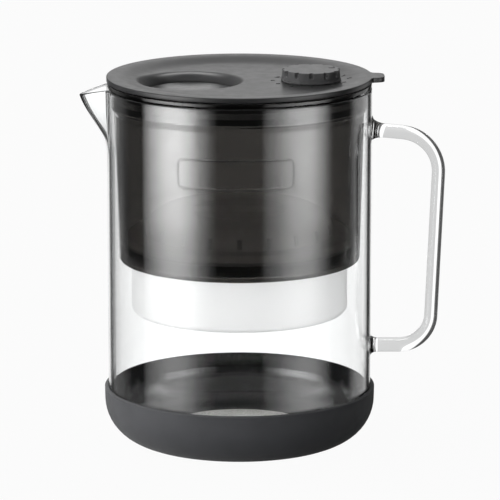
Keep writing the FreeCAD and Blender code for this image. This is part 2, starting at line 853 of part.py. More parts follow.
def least_turn_gap(points, wire, apart):
    """The least clear gap between points of a tube that lie further apart along it than apart."""
    least = math.inf
    for index, point in enumerate(points):
        for other in points[index + apart:]:
            least = min(least, (other - point).Length - wire)
    return least


def make_flap_spring():
    """One unbroken wire: a leg up to the lid, the turns about the pin, a leg under the flap."""
    radius = dim.spring_radius.value
    wire = dim.spring_wire.value
    climb = dim.spring_pitch.value / (2 * math.pi)
    quarters = int(dim.spring_turns.value) * 4 + 1
    half_length = climb * quarters * math.pi / 4

    def place(turn):
        return Vector(radius * math.cos(turn), climb * turn - half_length, -radius * math.sin(turn))

    def direction(turn):
        return Vector(-radius * math.sin(turn), climb, -radius * math.cos(turn)).normalize()

    start = place(0.0)
    lid_end = start - direction(0.0) * dim.spring_lid_leg.value
    edges = [Part.LineSegment(lid_end, start).toShape()]
    for quarter in range(quarters):
        begin = quarter * math.pi / 2
        finish = begin + math.pi / 2
        edges += biarc(place(begin), direction(begin), place(finish), direction(finish))
    last_turn = quarters * math.pi / 2
    flap_end = place(last_turn) + direction(last_turn) * dim.spring_flap_leg.value
    edges.append(Part.LineSegment(place(last_turn), flap_end).toShape())
    path = Part.Wire(edges)
    circle = Part.Circle(lid_end, direction(0.0), wire / 2)
    section = Part.Wire([circle.toShape()])
    spring = DOCUMENT.addObject("Part::Feature", "flap_spring")
    spring.Shape = path.makePipeShell([section], True, False)
    spring.Placement = FreeCAD.Placement(Vector(hinge_x.value, 0, hinge_z.value), FreeCAD.Rotation())
    add_part(spring, "flap_spring")
    steps_per_turn = 48
    turn_count = quarters / 4
    samples = [
        place(2 * math.pi * step / steps_per_turn)
        for step in range(int(turn_count * steps_per_turn) + 1)
    ]
    gap = least_turn_gap(samples, wire, steps_per_turn // 2)
    print(f"flap_spring: least gap between turns {gap:.3f} mm")
    print(f"flap_spring: volume {spring.Shape.Volume:.3f} mm3 on {path.Length:.2f} mm of wire")


# Reminder dial


def pointer_corners(clear):
    """The pointer's rectangle, turned about the dial's axis and drawn in by clear."""
    cosine = dim.pointer_angle.cosine()
    sine = dim.pointer_angle.sine()
    near = dim.pointer_radius + clear
    far = dim.pointer_radius + dim.pointer_length - clear
    half = dim.pointer_width / 2 - clear
    local = [(near, -half), (far, -half), (far, half), (near, half)]
    return [(along * cosine - side * sine, along * sine + side * cosine) for along, side in local]


def make_dial_knob():
    body = new_body("dial_knob", dial_x)
    step_z = knob_low + dim.dial_step_height
    grip_r = dim.dial_radius - dim.dial_step
    turned(body, "knob_body", [
        (0.0, stem_low),
        (dim.dial_stem_radius, stem_low),
        (dim.dial_stem_radius, knob_low),
        (dim.dial_radius, knob_low),
        (dim.dial_radius, step_z, dim.dial_step_round),
        (grip_r, step_z),
        (grip_r, knob_high, dim.dial_round),
        (0.0, knob_high),
    ])
    notch_low = knob_low + dim.notch_rise
    notch_end = knob_high + CUT_PAST
    notch = turned(body, "notch", [
        (0.0, notch_low),
        (dim.notch_radius, notch_low, dim.notch_floor_round),
        (dim.notch_radius, notch_end),
        (0.0, notch_end),
    ], kind="Groove", axis_x=grip_r)
    around(body, "notches", [notch], dim.notch_count)
    hole_r = dim.screw_radius + dim.screw_clear / 2
    turned(body, "screw_hole", rectangle(
        0.0, hole_r, stem_low - CUT_PAST, stem_low + dim.screw_length), kind="Groove")
    sketch = new_sketch(body, "pointer_slot_outline", "XY_Plane", (0.0, 0.0, knob_high))
    draw_outline(sketch, pointer_corners(Size.wrap(0.0)))
    padded(body, "pointer_slot", sketch, dim.pointer_depth, kind="Pocket", side="One side")


def make_dial_pointer():
    body = new_body("dial_pointer", dial_x)
    low = knob_high - dim.pointer_depth
    sketch = new_sketch(body, "pointer_outline", "XY_Plane", (0.0, 0.0, low))
    draw_outline(sketch, pointer_corners(dim.pointer_fit))
    padded(body, "pointer", sketch, dim.pointer_depth + dim.pointer_stand, side="One side")


def make_dial_retainer():
    hole_r = dim.screw_radius + dim.screw_clear
    body = ring("dial_retainer", retainer_low, stem_low, hole_r, dim.retainer_radius, dial_x)
    notch = turned(body, "click_notch", rectangle(
        0.0, dim.retainer_notch, retainer_low - CUT_PAST, stem_low + CUT_PAST,
    ), kind="Groove", axis_x=dim.retainer_radius)
    around(body, "click_notches", [notch], dim.notch_count)


def make_dial_screw():
    body = new_body("dial_screw", dial_x)
    head_low = retainer_low - dim.screw_head
    shank_high = retainer_low + dim.screw_length
    turned(body, "screw_blank", [
        (0.0, head_low),
        (dim.screw_head_radius, head_low, dim.screw_head_round),
        (dim.screw_head_radius, retainer_low),
        (dim.screw_radius, retainer_low),
        (dim.screw_radius, shank_high),
        (0.0, shank_high),
    ])
    half = dim.screw_slot / 2
    sketch = new_sketch(body, "driver_slot_outline", "XY_Plane", (0.0, 0.0, head_low))
    draw_outline(sketch, rectangle(-dim.screw_head_radius, dim.screw_head_radius, -half, half))
    padded(body, "driver_slot", sketch, dim.screw_head, kind="Pocket")


def make_dial_detent_leaf():
    body = new_body("dial_detent_leaf", dial_x)
    near = dim.retainer_radius + dim.leaf_gap
    tip = dim.leaf_tip_reach
    end = tip - dim.leaf_length
    sketch = new_sketch(body, "leaf_outline", "XY_Plane", (0.0, 0.0, retainer_low))
    draw_outline(sketch, rectangle(near, near + dim.leaf_thick, end, tip))
    padded(body, "leaf", sketch, dim.retainer_thick, side="One side")
    sketch = new_sketch(body, "foot_outline", "XY_Plane", (0.0, 0.0, retainer_low))
    draw_outline(sketch, rectangle(near, near + dim.leaf_foot, end, end + dim.leaf_foot))
    padded(body, "leaf_foot", sketch, plate_low - retainer_low, side="One side")


def check_document():
    """Stop before anything is written if an object failed or a sub-part is not one valid solid."""
    for item in DOCUMENT.Objects:
        for word in ("Invalid", "Error"):
            if word in item.State:
                raise RuntimeError(f"{item.Name} is {word}")
    for item in PARTS:
        if item.Shape.isNull() or not item.Shape.isValid():
            raise RuntimeError(f"{item.Label} has no valid shape")
        if len(item.Shape.Solids) != 1:
            raise RuntimeError(f"{item.Label} has {len(item.Shape.Solids)} solids")


def main():
    make_glass_jug()
    make_glass_handle()
    make_silicone_boot()
    make_hopper_tank()
    make_cartridge_shell()
    make_cartridge_cap()
    make_cartridge_seal()
    make_filter_bed()
    make_lid_top()
    make_lid_liner()
    make_lid_gasket()
    make_fill_flap()
    make_flap_seal()
    make_flap_pin()
    make_flap_spring()
    make_dial_knob()
    make_dial_pointer()
    make_dial_retainer()
    make_dial_screw()
    make_dial_detent_leaf()
    DOCUMENT.recompute()
    check_document()
    os.makedirs("parts", exist_ok=True)
    for item in PARTS:
        item.Shape.exportStep(f"parts/{item.Label}.step")
        print(f"{item.Label}: {item.Shape.Volume:.1f} mm3")


main()
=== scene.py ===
import math

import bmesh
import bpy
from bpy.props import FloatProperty, FloatVectorProperty, IntProperty, PointerProperty
from bpy.types import Operator, Panel, PropertyGroup
from mathutils import Matrix, Vector


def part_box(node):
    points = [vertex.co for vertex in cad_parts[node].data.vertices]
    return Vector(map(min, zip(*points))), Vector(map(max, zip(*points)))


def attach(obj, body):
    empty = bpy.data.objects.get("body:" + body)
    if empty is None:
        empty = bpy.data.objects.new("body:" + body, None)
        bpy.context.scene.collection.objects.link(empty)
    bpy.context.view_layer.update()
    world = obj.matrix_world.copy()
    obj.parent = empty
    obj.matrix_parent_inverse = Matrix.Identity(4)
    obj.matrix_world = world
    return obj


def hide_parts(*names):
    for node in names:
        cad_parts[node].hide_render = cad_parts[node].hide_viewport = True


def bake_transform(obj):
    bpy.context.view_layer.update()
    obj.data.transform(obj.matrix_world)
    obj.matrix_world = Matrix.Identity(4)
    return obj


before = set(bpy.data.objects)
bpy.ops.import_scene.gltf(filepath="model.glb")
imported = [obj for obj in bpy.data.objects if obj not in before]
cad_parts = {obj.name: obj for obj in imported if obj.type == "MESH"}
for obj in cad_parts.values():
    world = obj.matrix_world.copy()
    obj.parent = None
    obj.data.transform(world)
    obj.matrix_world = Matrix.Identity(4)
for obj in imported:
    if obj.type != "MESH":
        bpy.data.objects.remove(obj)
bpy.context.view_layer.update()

bl_info = {
    "name": "Water Filter Pitcher",
    "version": (1, 0, 0),
    "blender": (4, 5, 0),
    "location": "View3D > Sidebar > Pitcher",
    "description": "Dresses the CAD frame of a glass water filter pitcher",
    "category": "Object",
}

MM = 0.001
TINY = 1e-7
BOOT_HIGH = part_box("silicone_boot")[1]
HOPPER_LOW, HOPPER_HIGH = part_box("hopper_tank")
LID_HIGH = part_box("lid_top")[1]
FLAP_SEAL_LOW, FLAP_SEAL_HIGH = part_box("flap_seal")
PIN_LOW, PIN_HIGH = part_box("flap_pin")
KNOB_LOW, KNOB_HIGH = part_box("dial_knob")


# Settings


class PitcherGlass(PropertyGroup):
    """Sizes and tint of the glass body and its handle."""

    radius: FloatProperty(
        name="Radius", description="Outer radius of the glass wall",
        default=66 * MM, min=0.02, unit="LENGTH")
    wall: FloatProperty(
        name="Wall", description="Thickness of the glass wall",
        default=1.9 * MM, min=0.0005, unit="LENGTH")
    floor: FloatProperty(
        name="Floor", description="Thickness of the glass floor",
        default=3 * MM, min=0.0005, unit="LENGTH")
    corner: FloatProperty(
        name="Corner", description="Outer rounding between the wall and the floor",
        default=20 * MM, min=0.001, unit="LENGTH")
    foot: FloatProperty(
        name="Foot height", description="Height of the glass floor's underside above the table",
        default=2.6 * MM, unit="LENGTH")
    height: FloatProperty(
        name="Height", description="Height of the rim above the underside of the floor",
        default=177.7 * MM, min=0.02, unit="LENGTH")
    spout_reach: FloatProperty(
        name="Spout reach", description="How far the spout's tip stands out from the wall",
        default=14.6 * MM, min=0.0, unit="LENGTH")
    spout_half_width: FloatProperty(
        name="Spout half width", description="Half the width of the spout at the rim",
        default=11 * MM, min=0.001, unit="LENGTH")
    spout_droop: FloatProperty(
        name="Spout droop", description="How far the spout's tip dips below the rim",
        default=4.1 * MM, min=0.0, unit="LENGTH")
    handle_thick: FloatProperty(
        name="Handle thickness", description="Thickness of the handle's rod, seen from the side",
        default=6.6 * MM, min=0.001, unit="LENGTH")
    handle_width: FloatProperty(
        name="Handle width", description="Width of the handle's rod, across the fingers",
        default=9 * MM, min=0.001, unit="LENGTH")
    weld_grow: FloatProperty(
        name="Weld growth", description="How far the upper weld spreads round the rod",
        default=3.3 * MM, min=0.0, unit="LENGTH")
    weld_length: FloatProperty(
        name="Weld length", description="Length over which the rod flares into the wall",
        default=6.5 * MM, min=0.001, unit="LENGTH")
    tint: FloatVectorProperty(
        name="Tint", description="Colour of light that has passed through the glass",
        default=(0.985, 0.99, 0.99), min=0.0, max=1.0, subtype="COLOR")


class PitcherHopper(PropertyGroup):
    """Sizes and tint of the smoke-coloured tank."""

    low_radius: FloatProperty(
        name="Lower radius", description="Outer radius of the tank at its floor",
        default=60.2 * MM, min=0.02, unit="LENGTH")
    high_radius: FloatProperty(
        name="Upper radius", description="Outer radius of the tank below its collar",
        default=62.2 * MM, min=0.02, unit="LENGTH")
    wall: FloatProperty(
        name="Wall", description="Thickness of the tank's wall",
        default=1.7 * MM, min=0.0005, unit="LENGTH")
    plate_width: FloatProperty(
        name="Plate width", description="Width of the bare plate on the front of the tank",
        default=58 * MM, min=0.0, unit="LENGTH")
    plate_height: FloatProperty(
        name="Plate height", description="Height of the bare plate",
        default=14.2 * MM, min=0.0, unit="LENGTH")
    plate_middle: FloatProperty(
        name="Plate middle", description="Height of the plate's middle above the table",
        default=147 * MM, unit="LENGTH")
    plate_turn: FloatProperty(
        name="Plate turn", description="Turn of the plate's middle about the jug's axis",
        default=math.radians(-1.75), subtype="ANGLE")
    ridge_width: FloatProperty(
        name="Ridge width", description="Width of the raised line round the plate",
        default=1.3 * MM, min=0.0001, unit="LENGTH")
    ridge_relief: FloatProperty(
        name="Ridge relief", description="How far the raised line stands out of the wall",
        default=0.45 * MM, min=0.0, unit="LENGTH")
    tint: FloatVectorProperty(
        name="Tint", description="Colour of light that has passed through the wall",
        default=(0.186, 0.179, 0.171), min=0.0, max=1.0, subtype="COLOR")


class PitcherLid(PropertyGroup):
    """Sizes and colours of the lid, its flap and its dial."""

    edge_round: FloatProperty(
        name="Edge rounding", description="Rounding of the lid's outer edges",
        default=0.4 * MM, min=0.0001, unit="LENGTH")
    funnel_roll: FloatProperty(
        name="Funnel roll",
        description="How softly the lid rolls over into the fill funnel, 1 for a plain cone",
        default=2.2, min=1.0, max=4.0)
    tab_reach: FloatProperty(
        name="Tab reach", description="How far the thumb tab stands out of the lid's edge",
        default=6 * MM, min=0.0, unit="LENGTH")
    tab_width: FloatProperty(
        name="Tab width", description="Width of the thumb tab",
        default=15 * MM, min=0.001, unit="LENGTH")
    flap_dish: FloatProperty(
        name="Flap dish", description="How far the flap's face is hollowed out",
        default=1.2 * MM, min=0.0, unit="LENGTH")
    dial_radius: FloatProperty(
        name="Dial radius", description="Radius of the dial at its foot",
        default=14.95 * MM, min=0.005, unit="LENGTH")
    groove_depth: FloatProperty(
        name="Groove depth", description="Depth of the twelve grip grooves round the dial",
        default=1.3 * MM, min=0.0, unit="LENGTH")
    scale_radius: FloatProperty(
        name="Scale radius", description="Radius of the ring of month numbers round the dial",
        default=18.9 * MM, min=0.001, unit="LENGTH")
    numeral_height: FloatProperty(
        name="Number height", description="Height of the month numbers",
        default=2.5 * MM, min=0.0005, unit="LENGTH")
    numeral_relief: FloatProperty(
        name="Number relief", description="How far the month numbers stand out of the lid",
        default=0.16 * MM, min=0.0, unit="LENGTH")
    colour: FloatVectorProperty(
        name="Lid colour", description="Colour of the matt lid plastic",
        default=(0.008, 0.008, 0.0084), min=0.0, max=1.0, subtype="COLOR")
    flap_colour: FloatVectorProperty(
        name="Flap colour", description="Colour of the glossy flap plastic",
        default=(0.005, 0.005, 0.0055), min=0.0, max=1.0, subtype="COLOR")
    dial_colour: FloatVectorProperty(
        name="Dial colour", description="Colour of the dial's plastic",
        default=(0.02, 0.02, 0.0205), min=0.0, max=1.0, subtype="COLOR")
    scale_colour: FloatVectorProperty(
        name="Scale colour", description="Colour of the month numbers round the dial",
        default=(0.012, 0.012, 0.0125), min=0.0, max=1.0, subtype="COLOR")
    pointer_colour: FloatVectorProperty(
        name="Pointer colour", description="Colour of the mark on the dial",
        default=(0.02, 0.02, 0.021), min=0.0, max=1.0, subtype="COLOR")


class PitcherFittings(PropertyGroup):
    """Colours of the boot, the cartridge, the seals and the filter bed."""

    boot: FloatVectorProperty(
        name="Boot", description="Colour of the silicone boot",
        default=(0.0185, 0.019, 0.0205), min=0.0, max=1.0, subtype="COLOR")
    # Painted shade: this darker colour on the boot's inner face stands in for the dimness inside the
    # boot. It is not a cleaner face.
    painted_shade_lining: FloatVectorProperty(
        name="Lining", description="Colour of the boot's clean inner face",
        default=(0.0045, 0.0045, 0.005), min=0.0, max=1.0, subtype="COLOR")
    pad: FloatVectorProperty(
        name="Pad", description="Colour of the pale pad below the glass floor",
        default=(0.64, 0.63, 0.605), min=0.0, max=1.0, subtype="COLOR")
    pad_radius: FloatProperty(
        name="Pad radius", description="Radius of the pale pad below the glass floor",
        default=37.5 * MM, min=0.001, unit="LENGTH")
    cartridge: FloatVectorProperty(
        name="Cartridge", description="Colour of the white cartridge plastic",
        default=(0.90, 0.90, 0.90), min=0.0, max=1.0, subtype="COLOR")
    seal: FloatVectorProperty(
        name="Seals", description="Colour of the silicone seals",
        default=(0.50, 0.51, 0.52), min=0.0, max=1.0, subtype="COLOR")
    screen: FloatVectorProperty(
        name="Screens", description="Colour of the woven screens",
        default=(0.78, 0.78, 0.75), min=0.0, max=1.0, subtype="COLOR")
    resin: FloatVectorProperty(
        name="Resin", description="Colour of the resin beads",
        default=(0.56, 0.33, 0.10), min=0.0, max=1.0, subtype="COLOR")
    carbon: FloatVectorProperty(
        name="Carbon", description="Colour of the carbon granules",
        default=(0.022, 0.022, 0.023), min=0.0, max=1.0, subtype="COLOR")
    felt: FloatVectorProperty(
        name="Felt", description="Colour of the fibre pad",
        default=(0.83, 0.83, 0.80), min=0.0, max=1.0, subtype="COLOR")
    steel: FloatVectorProperty(
        name="Steel", description="Colour of the stainless steel",
        default=(0.58, 0.57, 0.56), min=0.0, max=1.0, subtype="COLOR")


class PitcherStage(PropertyGroup):
    """Camera, floor and studio light."""

    camera_place: FloatVectorProperty(
        name="Camera place", description="Where the camera stands",
        default=(0.0, -1.9684, 0.5248), subtype="TRANSLATION", unit="LENGTH")
    camera_target: FloatVectorProperty(
        name="Camera target", description="The point in the middle of the picture",
        default=(0.00527, 0.0, 0.09675), subtype="TRANSLATION", unit="LENGTH")
    lens: FloatProperty(
        name="Lens", description="Focal length of the camera",
        default=289.05, min=1.0, unit="CAMERA")
    left_panel: FloatProperty(
        name="Left panel", description="Brightness of the soft panel on the left",
        default=6.4, min=0.0)
    right_panel: FloatProperty(
        name="Right panel", description="Brightness of the soft panel on the right",
        default=3.6, min=0.0)
    overhead: FloatProperty(
        name="Overhead panel",
        description="Brightness of the soft panel above and behind the pitcher",
        default=7.5, min=0.0)
    panel_distance: FloatProperty(
        name="Panel distance", description="Distance of the soft panels from the jug's axis",
        default=0.7, min=0.2, unit="LENGTH")
    floor_tone: FloatProperty(
        name="Floor tone", description="Brightness of the pale floor and backdrop",
        default=0.972, min=0.0, max=1.0)
    bounces: IntProperty(
        name="Bounces", description="How often light may pass through the glass",
        default=28, min=4, max=64)


# Outlines


def arc_corner(before, corner, after, radius, steps):
    """The points of the arc that rounds one corner of an outline."""
    middle = Vector(corner)
    back = Vector(before) - middle
    ahead = Vector(after) - middle
    half = back.angle(ahead) / 2
    run = radius / math.tan(half)
    inward = (back.normalized() + ahead.normalized()).normalized()
    centre = middle + inward * (radius / math.sin(half))
    first = middle + back.normalized() * run - centre
    last = middle + ahead.normalized() * run - centre
    sweep = first.angle_signed(last)
    return [centre + Matrix.Rotation(-sweep * step / steps, 2) @ first for step in range(steps + 1)]


def rounded(corners, steps=8, closed=True):
    """Points along lines through (u, v) corners, round where a corner gives a radius."""
    points = []
    count = len(corners)
    for index, corner in enumerate(corners):
        inner = closed or 0 < index < count - 1
        if len(corner) == 3 and inner:
            before = corners[index - 1][:2]
            after = corners[(index + 1) % count][:2]
            points.extend(arc_corner(before, corner[:2], after, corner[2], steps))
        else:
            points.append(Vector(corner[:2]))
    return points


def divided(points, longest):
    """The same open line with no step longer than asked."""
    result = [points[0]]
    for first, last in zip(points, points[1:]):
        parts = max(1, math.ceil((last - first).length / longest))
        result.extend(first.lerp(last, part / parts) for part in range(1, parts + 1))
    return result


def even_turn(count):
    """Angles of a full turn in even steps."""
    return [math.tau * step / count for step in range(count)]


def fine_turn(middle, half, fine, coarse):
    """Angles of a full turn, in fine steps near one angle and coarse steps elsewhere."""
    inside = max(2, round(2 * half / fine))
    outside = max(2, round((math.tau - 2 * half) / coarse))
    near = [middle - half + 2 * half * step / inside for step in range(inside)]
    far = [middle + half + (math.tau - 2 * half) * step / outside for step in range(outside)]
    return near + far


def clamped(value):
    """The value itself between 0 and 1, and the nearer of the two outside."""
    return min(1.0, max(0.0, value))


def smooth_step(value, low, high):
    """0 below low, 1 above high and a smooth rise in between."""
    share = clamped((value - low) / (high - low))
    return share * share * (3 - 2 * share)


def soft_ramp(value, softness):
    """Close to 0 below zero and to the value above it, with a soft bend between."""
    if value > softness * 30:
        return value
    return softness * math.log1p(math.exp(value / softness))


def soft_least(first, second, softness):
    """The lesser of two values, with a soft bend where they cross."""
    return first - soft_ramp(first - second, softness)


def round_rectangle(thick, width, corner, count):
    """Points of a rounded rectangle, as (u, v)."""
    half_u, half_v = thick / 2, width / 2
    corners = [
        (-half_u, -half_v, corner),
        (half_u, -half_v, corner),
        (half_u, half_v, corner),
        (-half_u, half_v, corner),
    ]
    return rounded(corners, count)


def rectangle_depth(u, v, corner):
    """Below zero inside a rounded rectangle, from how far a point lies past its straight edges."""
    u += corner
    v += corner
    return math.hypot(max(u, 0.0), max(v, 0.0)) + min(max(u, v), 0.0) - corner


# Meshes


def new_object(name, shape):
    """Put a finished shape in the scene as an object."""
    bmesh.ops.recalc_face_normals(shape, faces=shape.faces)
    mesh = bpy.data.meshes.new(name)
    shape.to_mesh(mesh)
    shape.free()
    thing = bpy.data.objects.new(name, mesh)
    bpy.context.scene.collection.objects.link(thing)
    return thing


def join_rings(shape, low, high):
    """Faces between two rings of points, either of which may be a single point."""
    count = max(len(low), len(high))
    for index in range(count):
        follow = (index + 1) % count
        corners = [
            low[index % len(low)],
            low[follow % len(low)],
            high[follow % len(high)],
            high[index % len(high)],
        ]
        shape.faces.new(list(dict.fromkeys(corners)))


def turned(name, profile, angles, closed=True, place=None):
    """An (r, z) profile turned about the upright axis, each point moved by place if given."""
    shape = bmesh.new()
    rings = []
    for radius, height in profile:
        turn = angles if radius > TINY else angles[:1]
        ring = []
        for angle in turn:
            point = Vector((radius * math.cos(angle), radius * math.sin(angle), height))
            ring.append(shape.verts.new(place(point) if place else point))
        rings.append(ring)
    for low, high in zip(rings, rings[1:]):
        join_rings(shape, low, high)
    if closed:
        join_rings(shape, rings[-1], rings[0])
    return new_object(name, shape)


def swept(name, rings):
    """A tube through rings of points, closed at both ends."""
    shape = bmesh.new()
    loops = [[shape.verts.new(point) for point in ring] for ring in rings]
    for low, high in zip(loops, loops[1:]):
        join_rings(shape, low, high)
    shape.faces.new(loops[0])
    shape.faces.new(loops[-1])
    return new_object(name, shape)


def moved(way):
    """A function that moves each point by the same way."""
    return lambda point: point + way


def combined(target, tool, operation):
    """Join a tool to a target, or cut it away, and keep the result as the target's mesh."""
    modifier = target.modifiers.new(tool.name, "BOOLEAN")
    modifier.operation = operation
    modifier.solver = "EXACT"
    modifier.object = tool
    graph = bpy.context.evaluated_depsgraph_get()
    mesh = bpy.data.meshes.new_from_object(target.evaluated_get(graph), depsgraph=graph)
    if not mesh.polygons:
        raise RuntimeError(f"{target.name} came out empty")
    target.modifiers.clear()
    target.data = mesh
    mesh.name = target.name
    bpy.data.objects.remove(tool)


def shade(thing, sharp=40.0):
    """Smooth shading with sharp edges where the surface turns by more than sharp degrees."""
    shape = bmesh.new()
    shape.from_mesh(thing.data)
    limit = math.radians(sharp)
    for face in shape.faces:
        face.smooth = True
    for edge in shape.edges:
        edge.smooth = not (len(edge.link_faces) == 2 and edge.calc_face_angle() > limit)
    shape.to_mesh(thing.data)
    shape.free()


def dress(thing, material):
    """Give an object its one material."""
    thing.data.materials.clear()
    thing.data.materials.append(material)


def settle(thing, body, material, sharp=40.0):
    """Finish one of the scene's own pieces and let it ride on its body."""
    shade(thing, sharp)
    dress(thing, material)
    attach(thing, body)


# Finishes


finishes = {}  # every finish made so far, by the name that this script gave it


class Finish:
    """A material under construction, with short ways to add and join nodes."""

    def __init__(self, name):
        self.material = bpy.data.materials.new(name)
        finishes[name] = self.material
        self.material.use_nodes = True
        self.tree = self.material.node_tree
        self.surface = self.tree.nodes["Principled BSDF"]
        self.output = self.tree.nodes["Material Output"]
        self.place = self.add("ShaderNodeTexCoord").outputs["Object"]

    def add(self, kind, **values):
        """A new node, with its properties and sockets set by name."""
        node = self.tree.nodes.new(kind)
        for key, value in values.items():
            if hasattr(node, key):
                setattr(node, key, value)
            else:
                node.inputs[key.replace("_", " ").title()].default_value = value
        return node

    def join(self, output, socket):
        """A link from an output to an input."""
        self.tree.links.new(output, socket)

    def set(self, **values):
        """Set constants on the surface's own sockets."""
        for key, value in values.items():
            self.surface.inputs[key.replace("_", " ")].default_value = value

    def stretched(self, size):
        """The object's coordinates, stretched by a size along each axis."""
        mapping = self.add("ShaderNodeMapping")
        mapping.inputs["Scale"].default_value = size
        self.join(self.place, mapping.inputs["Vector"])
        return mapping.outputs["Vector"]

    def noise(self, scale, detail=4.0, place=None):
        """Cloudy noise, as a value between 0 and 1."""
        node = self.add("ShaderNodeTexNoise", scale=scale, detail=detail)
        self.join(place or self.place, node.inputs["Vector"])
        return node.outputs["Fac"]

    def cells(self, scale):
        """Cells like packed grains, as their colours and distances."""
        node = self.add("ShaderNodeTexVoronoi", scale=scale)
        self.join(self.place, node.inputs["Vector"])
        return node.outputs

    def spread(self, value, low, high):
        """A value between 0 and 1 spread between low and high."""
        node = self.add("ShaderNodeMapRange", from_min=0.25, from_max=0.75, to_min=low, to_max=high)
        self.join(value, node.inputs["Value"])
        return node.outputs["Result"]

    def mottle(self, value, colour, share):
        """The colour, a little darker and lighter with a value between 0 and 1."""
        ramp = self.add("ShaderNodeValToRGB")
        darker, lighter = ramp.color_ramp.elements
        darker.position, lighter.position = 0.3, 0.7
        darker.color = [part * (1 - share) for part in colour] + [1.0]
        lighter.color = [min(1.0, part * (1 + share)) for part in colour] + [1.0]
        self.join(value, ramp.inputs["Fac"])
        self.join(ramp.outputs["Color"], self.surface.inputs["Base Color"])

    def gloss(self, value, low, high):
        """Uneven roughness."""
        self.join(self.spread(value, low, high), self.surface.inputs["Roughness"])

    def relief(self, value, depth):
        """Fine relief of a depth in metres."""
        node = self.add("ShaderNodeBump", strength=1.0, distance=depth)
        self.join(value, node.inputs["Height"])
        self.join(node.outputs["Normal"], self.surface.inputs["Normal"])


def moulded(name, colour, clouds, gloss, grain, **surface):
    """A plain finish with clouds in its colour, an uneven gloss and a grain in its relief.

    These are given as (scale, detail, share), (scale, low, high) and (scale, detail, depth).
    """
    finish = Finish(name)
    finish.set(**surface)
    cloud_scale, cloud_detail, share = clouds
    finish.mottle(finish.noise(cloud_scale, cloud_detail), colour, share)
    gloss_scale, low, high = gloss
    finish.gloss(finish.noise(gloss_scale), low, high)
    grain_scale, grain_detail, depth = grain
    finish.relief(finish.noise(grain_scale, grain_detail), depth)
    return finish.material


def clear_glass(tint):
    """Polished glass with the faint waviness of a drawn wall."""
    return moulded(
        "clear_glass", tint,
        clouds=(30.0, 4.0, 0.004), gloss=(60.0, 0.0, 0.008), grain=(35.0, 2.0, 0.02 * MM),
        Transmission_Weight=1.0, IOR=1.47)


def smoke_plastic(tint):
    """Glossy see-through plastic of a brownish smoke colour."""
    return moulded(
        "smoke_plastic", tint,
        clouds=(18.0, 4.0, 0.02), gloss=(80.0, 0.0, 0.02), grain=(22.0, 1.0, 0.02 * MM),
        Transmission_Weight=1.0, IOR=1.5)


def boot_silicone(name, colour):
    """Matt moulded silicone with a soft grain and a little dust in its colour."""
    return moulded(
        name, colour,
        clouds=(90.0, 6.0, 0.08), gloss=(140.0, 0.58, 0.72), grain=(2600.0, 2.0, 0.03 * MM),
        Sheen_Weight=0.05, Sheen_Roughness=0.5, Specular_IOR_Level=0.08)


def lid_plastic(name, colour, shine):
    """Black plastic with a fine spark-eroded texture."""
    return moulded(
        name, colour,
        clouds=(120.0, 6.0, 0.15), gloss=(200.0, 0.28, 0.35), grain=(2400.0, 2.0, 0.005 * MM),
        Specular_IOR_Level=shine)


def flap_plastic(colour):
    """Black plastic with a glossy lacquer over it."""
    return moulded(
        "flap_plastic", colour,
        clouds=(120.0, 6.0, 0.15), gloss=(70.0, 0.12, 0.18), grain=(60.0, 2.0, 0.01 * MM),
        Specular_IOR_Level=0.5, Coat_Weight=1.0, Coat_IOR=1.8, Coat_Roughness=0.12)


def satin_plastic(name, colour):
    """Satin moulded plastic with a faint flow in its colour."""
    return moulded(
        name, colour,
        clouds=(40.0, 5.0, 0.02), gloss=(90.0, 0.28, 0.40), grain=(1500.0, 2.0, 0.015 * MM),
        Specular_IOR_Level=0.45)


def seal_silicone(colour):
    """Soft grey silicone."""
    return moulded(
        "seal_silicone", colour,
        clouds=(150.0, 5.0, 0.06), gloss=(200.0, 0.45, 0.62), grain=(1800.0, 2.0, 0.03 * MM),
        Sheen_Weight=0.2, Sheen_Roughness=0.4)


def woven_screen(colour):
    """A fine woven mesh: two sets of threads crossing."""
    finish = Finish("screen_mesh")
    warp = finish.add("ShaderNodeTexWave", bands_direction="X", scale=320.0)
    weft = finish.add("ShaderNodeTexWave", bands_direction="Y", scale=320.0)
    threads = finish.add("ShaderNodeMath", operation="MAXIMUM")
    for index, wave in enumerate((warp, weft)):
        finish.join(finish.place, wave.inputs["Vector"])
        finish.join(wave.outputs["Fac"], threads.inputs[index])
    finish.mottle(threads.outputs["Value"], colour, 0.35)
    finish.gloss(finish.noise(300.0), 0.45, 0.6)
    finish.relief(threads.outputs["Value"], 0.15 * MM)
    return finish.material


def packed_grains(name, colour, scale, share, gloss, depth):
    """Loose grains packed in a bed, each of its own shade."""
    finish = Finish(name)
    grains = finish.cells(scale)
    shades = finish.add("ShaderNodeSeparateColor")
    finish.join(grains["Color"], shades.inputs["Color"])
    finish.mottle(shades.outputs["Red"], colour, share)
    finish.gloss(shades.outputs["Green"], *gloss)
    height = finish.add("ShaderNodeMath", operation="SUBTRACT")
    height.inputs[0].default_value = 1.0
    finish.join(grains["Distance"], height.inputs[1])
    finish.relief(height.outputs["Value"], depth)
    return finish.material


def fibre_felt(colour):
    """White felt of matted fibres."""
    finish = Finish("fibre_felt")
    finish.set(Sheen_Weight=0.5, Sheen_Roughness=0.6)
    fibres = finish.noise(700.0, 8.0, finish.stretched((1.0, 0.35, 1.0)))
    finish.mottle(fibres, colour, 0.12)
    finish.gloss(finish.noise(200.0), 0.85, 0.98)
    finish.relief(fibres, 0.5 * MM)
    return finish.material


def brushed_steel(colour):
    """Bright drawn stainless steel with fine lines along it."""
    finish = Finish("steel")
    finish.set(Metallic=1.0)
    lines = finish.noise(900.0, 3.0, finish.stretched((1.0, 0.06, 1.0)))
    finish.mottle(lines, colour, 0.08)
    finish.gloss(lines, 0.18, 0.32)
    finish.relief(lines, 0.01 * MM)
    return finish.material


# Glass


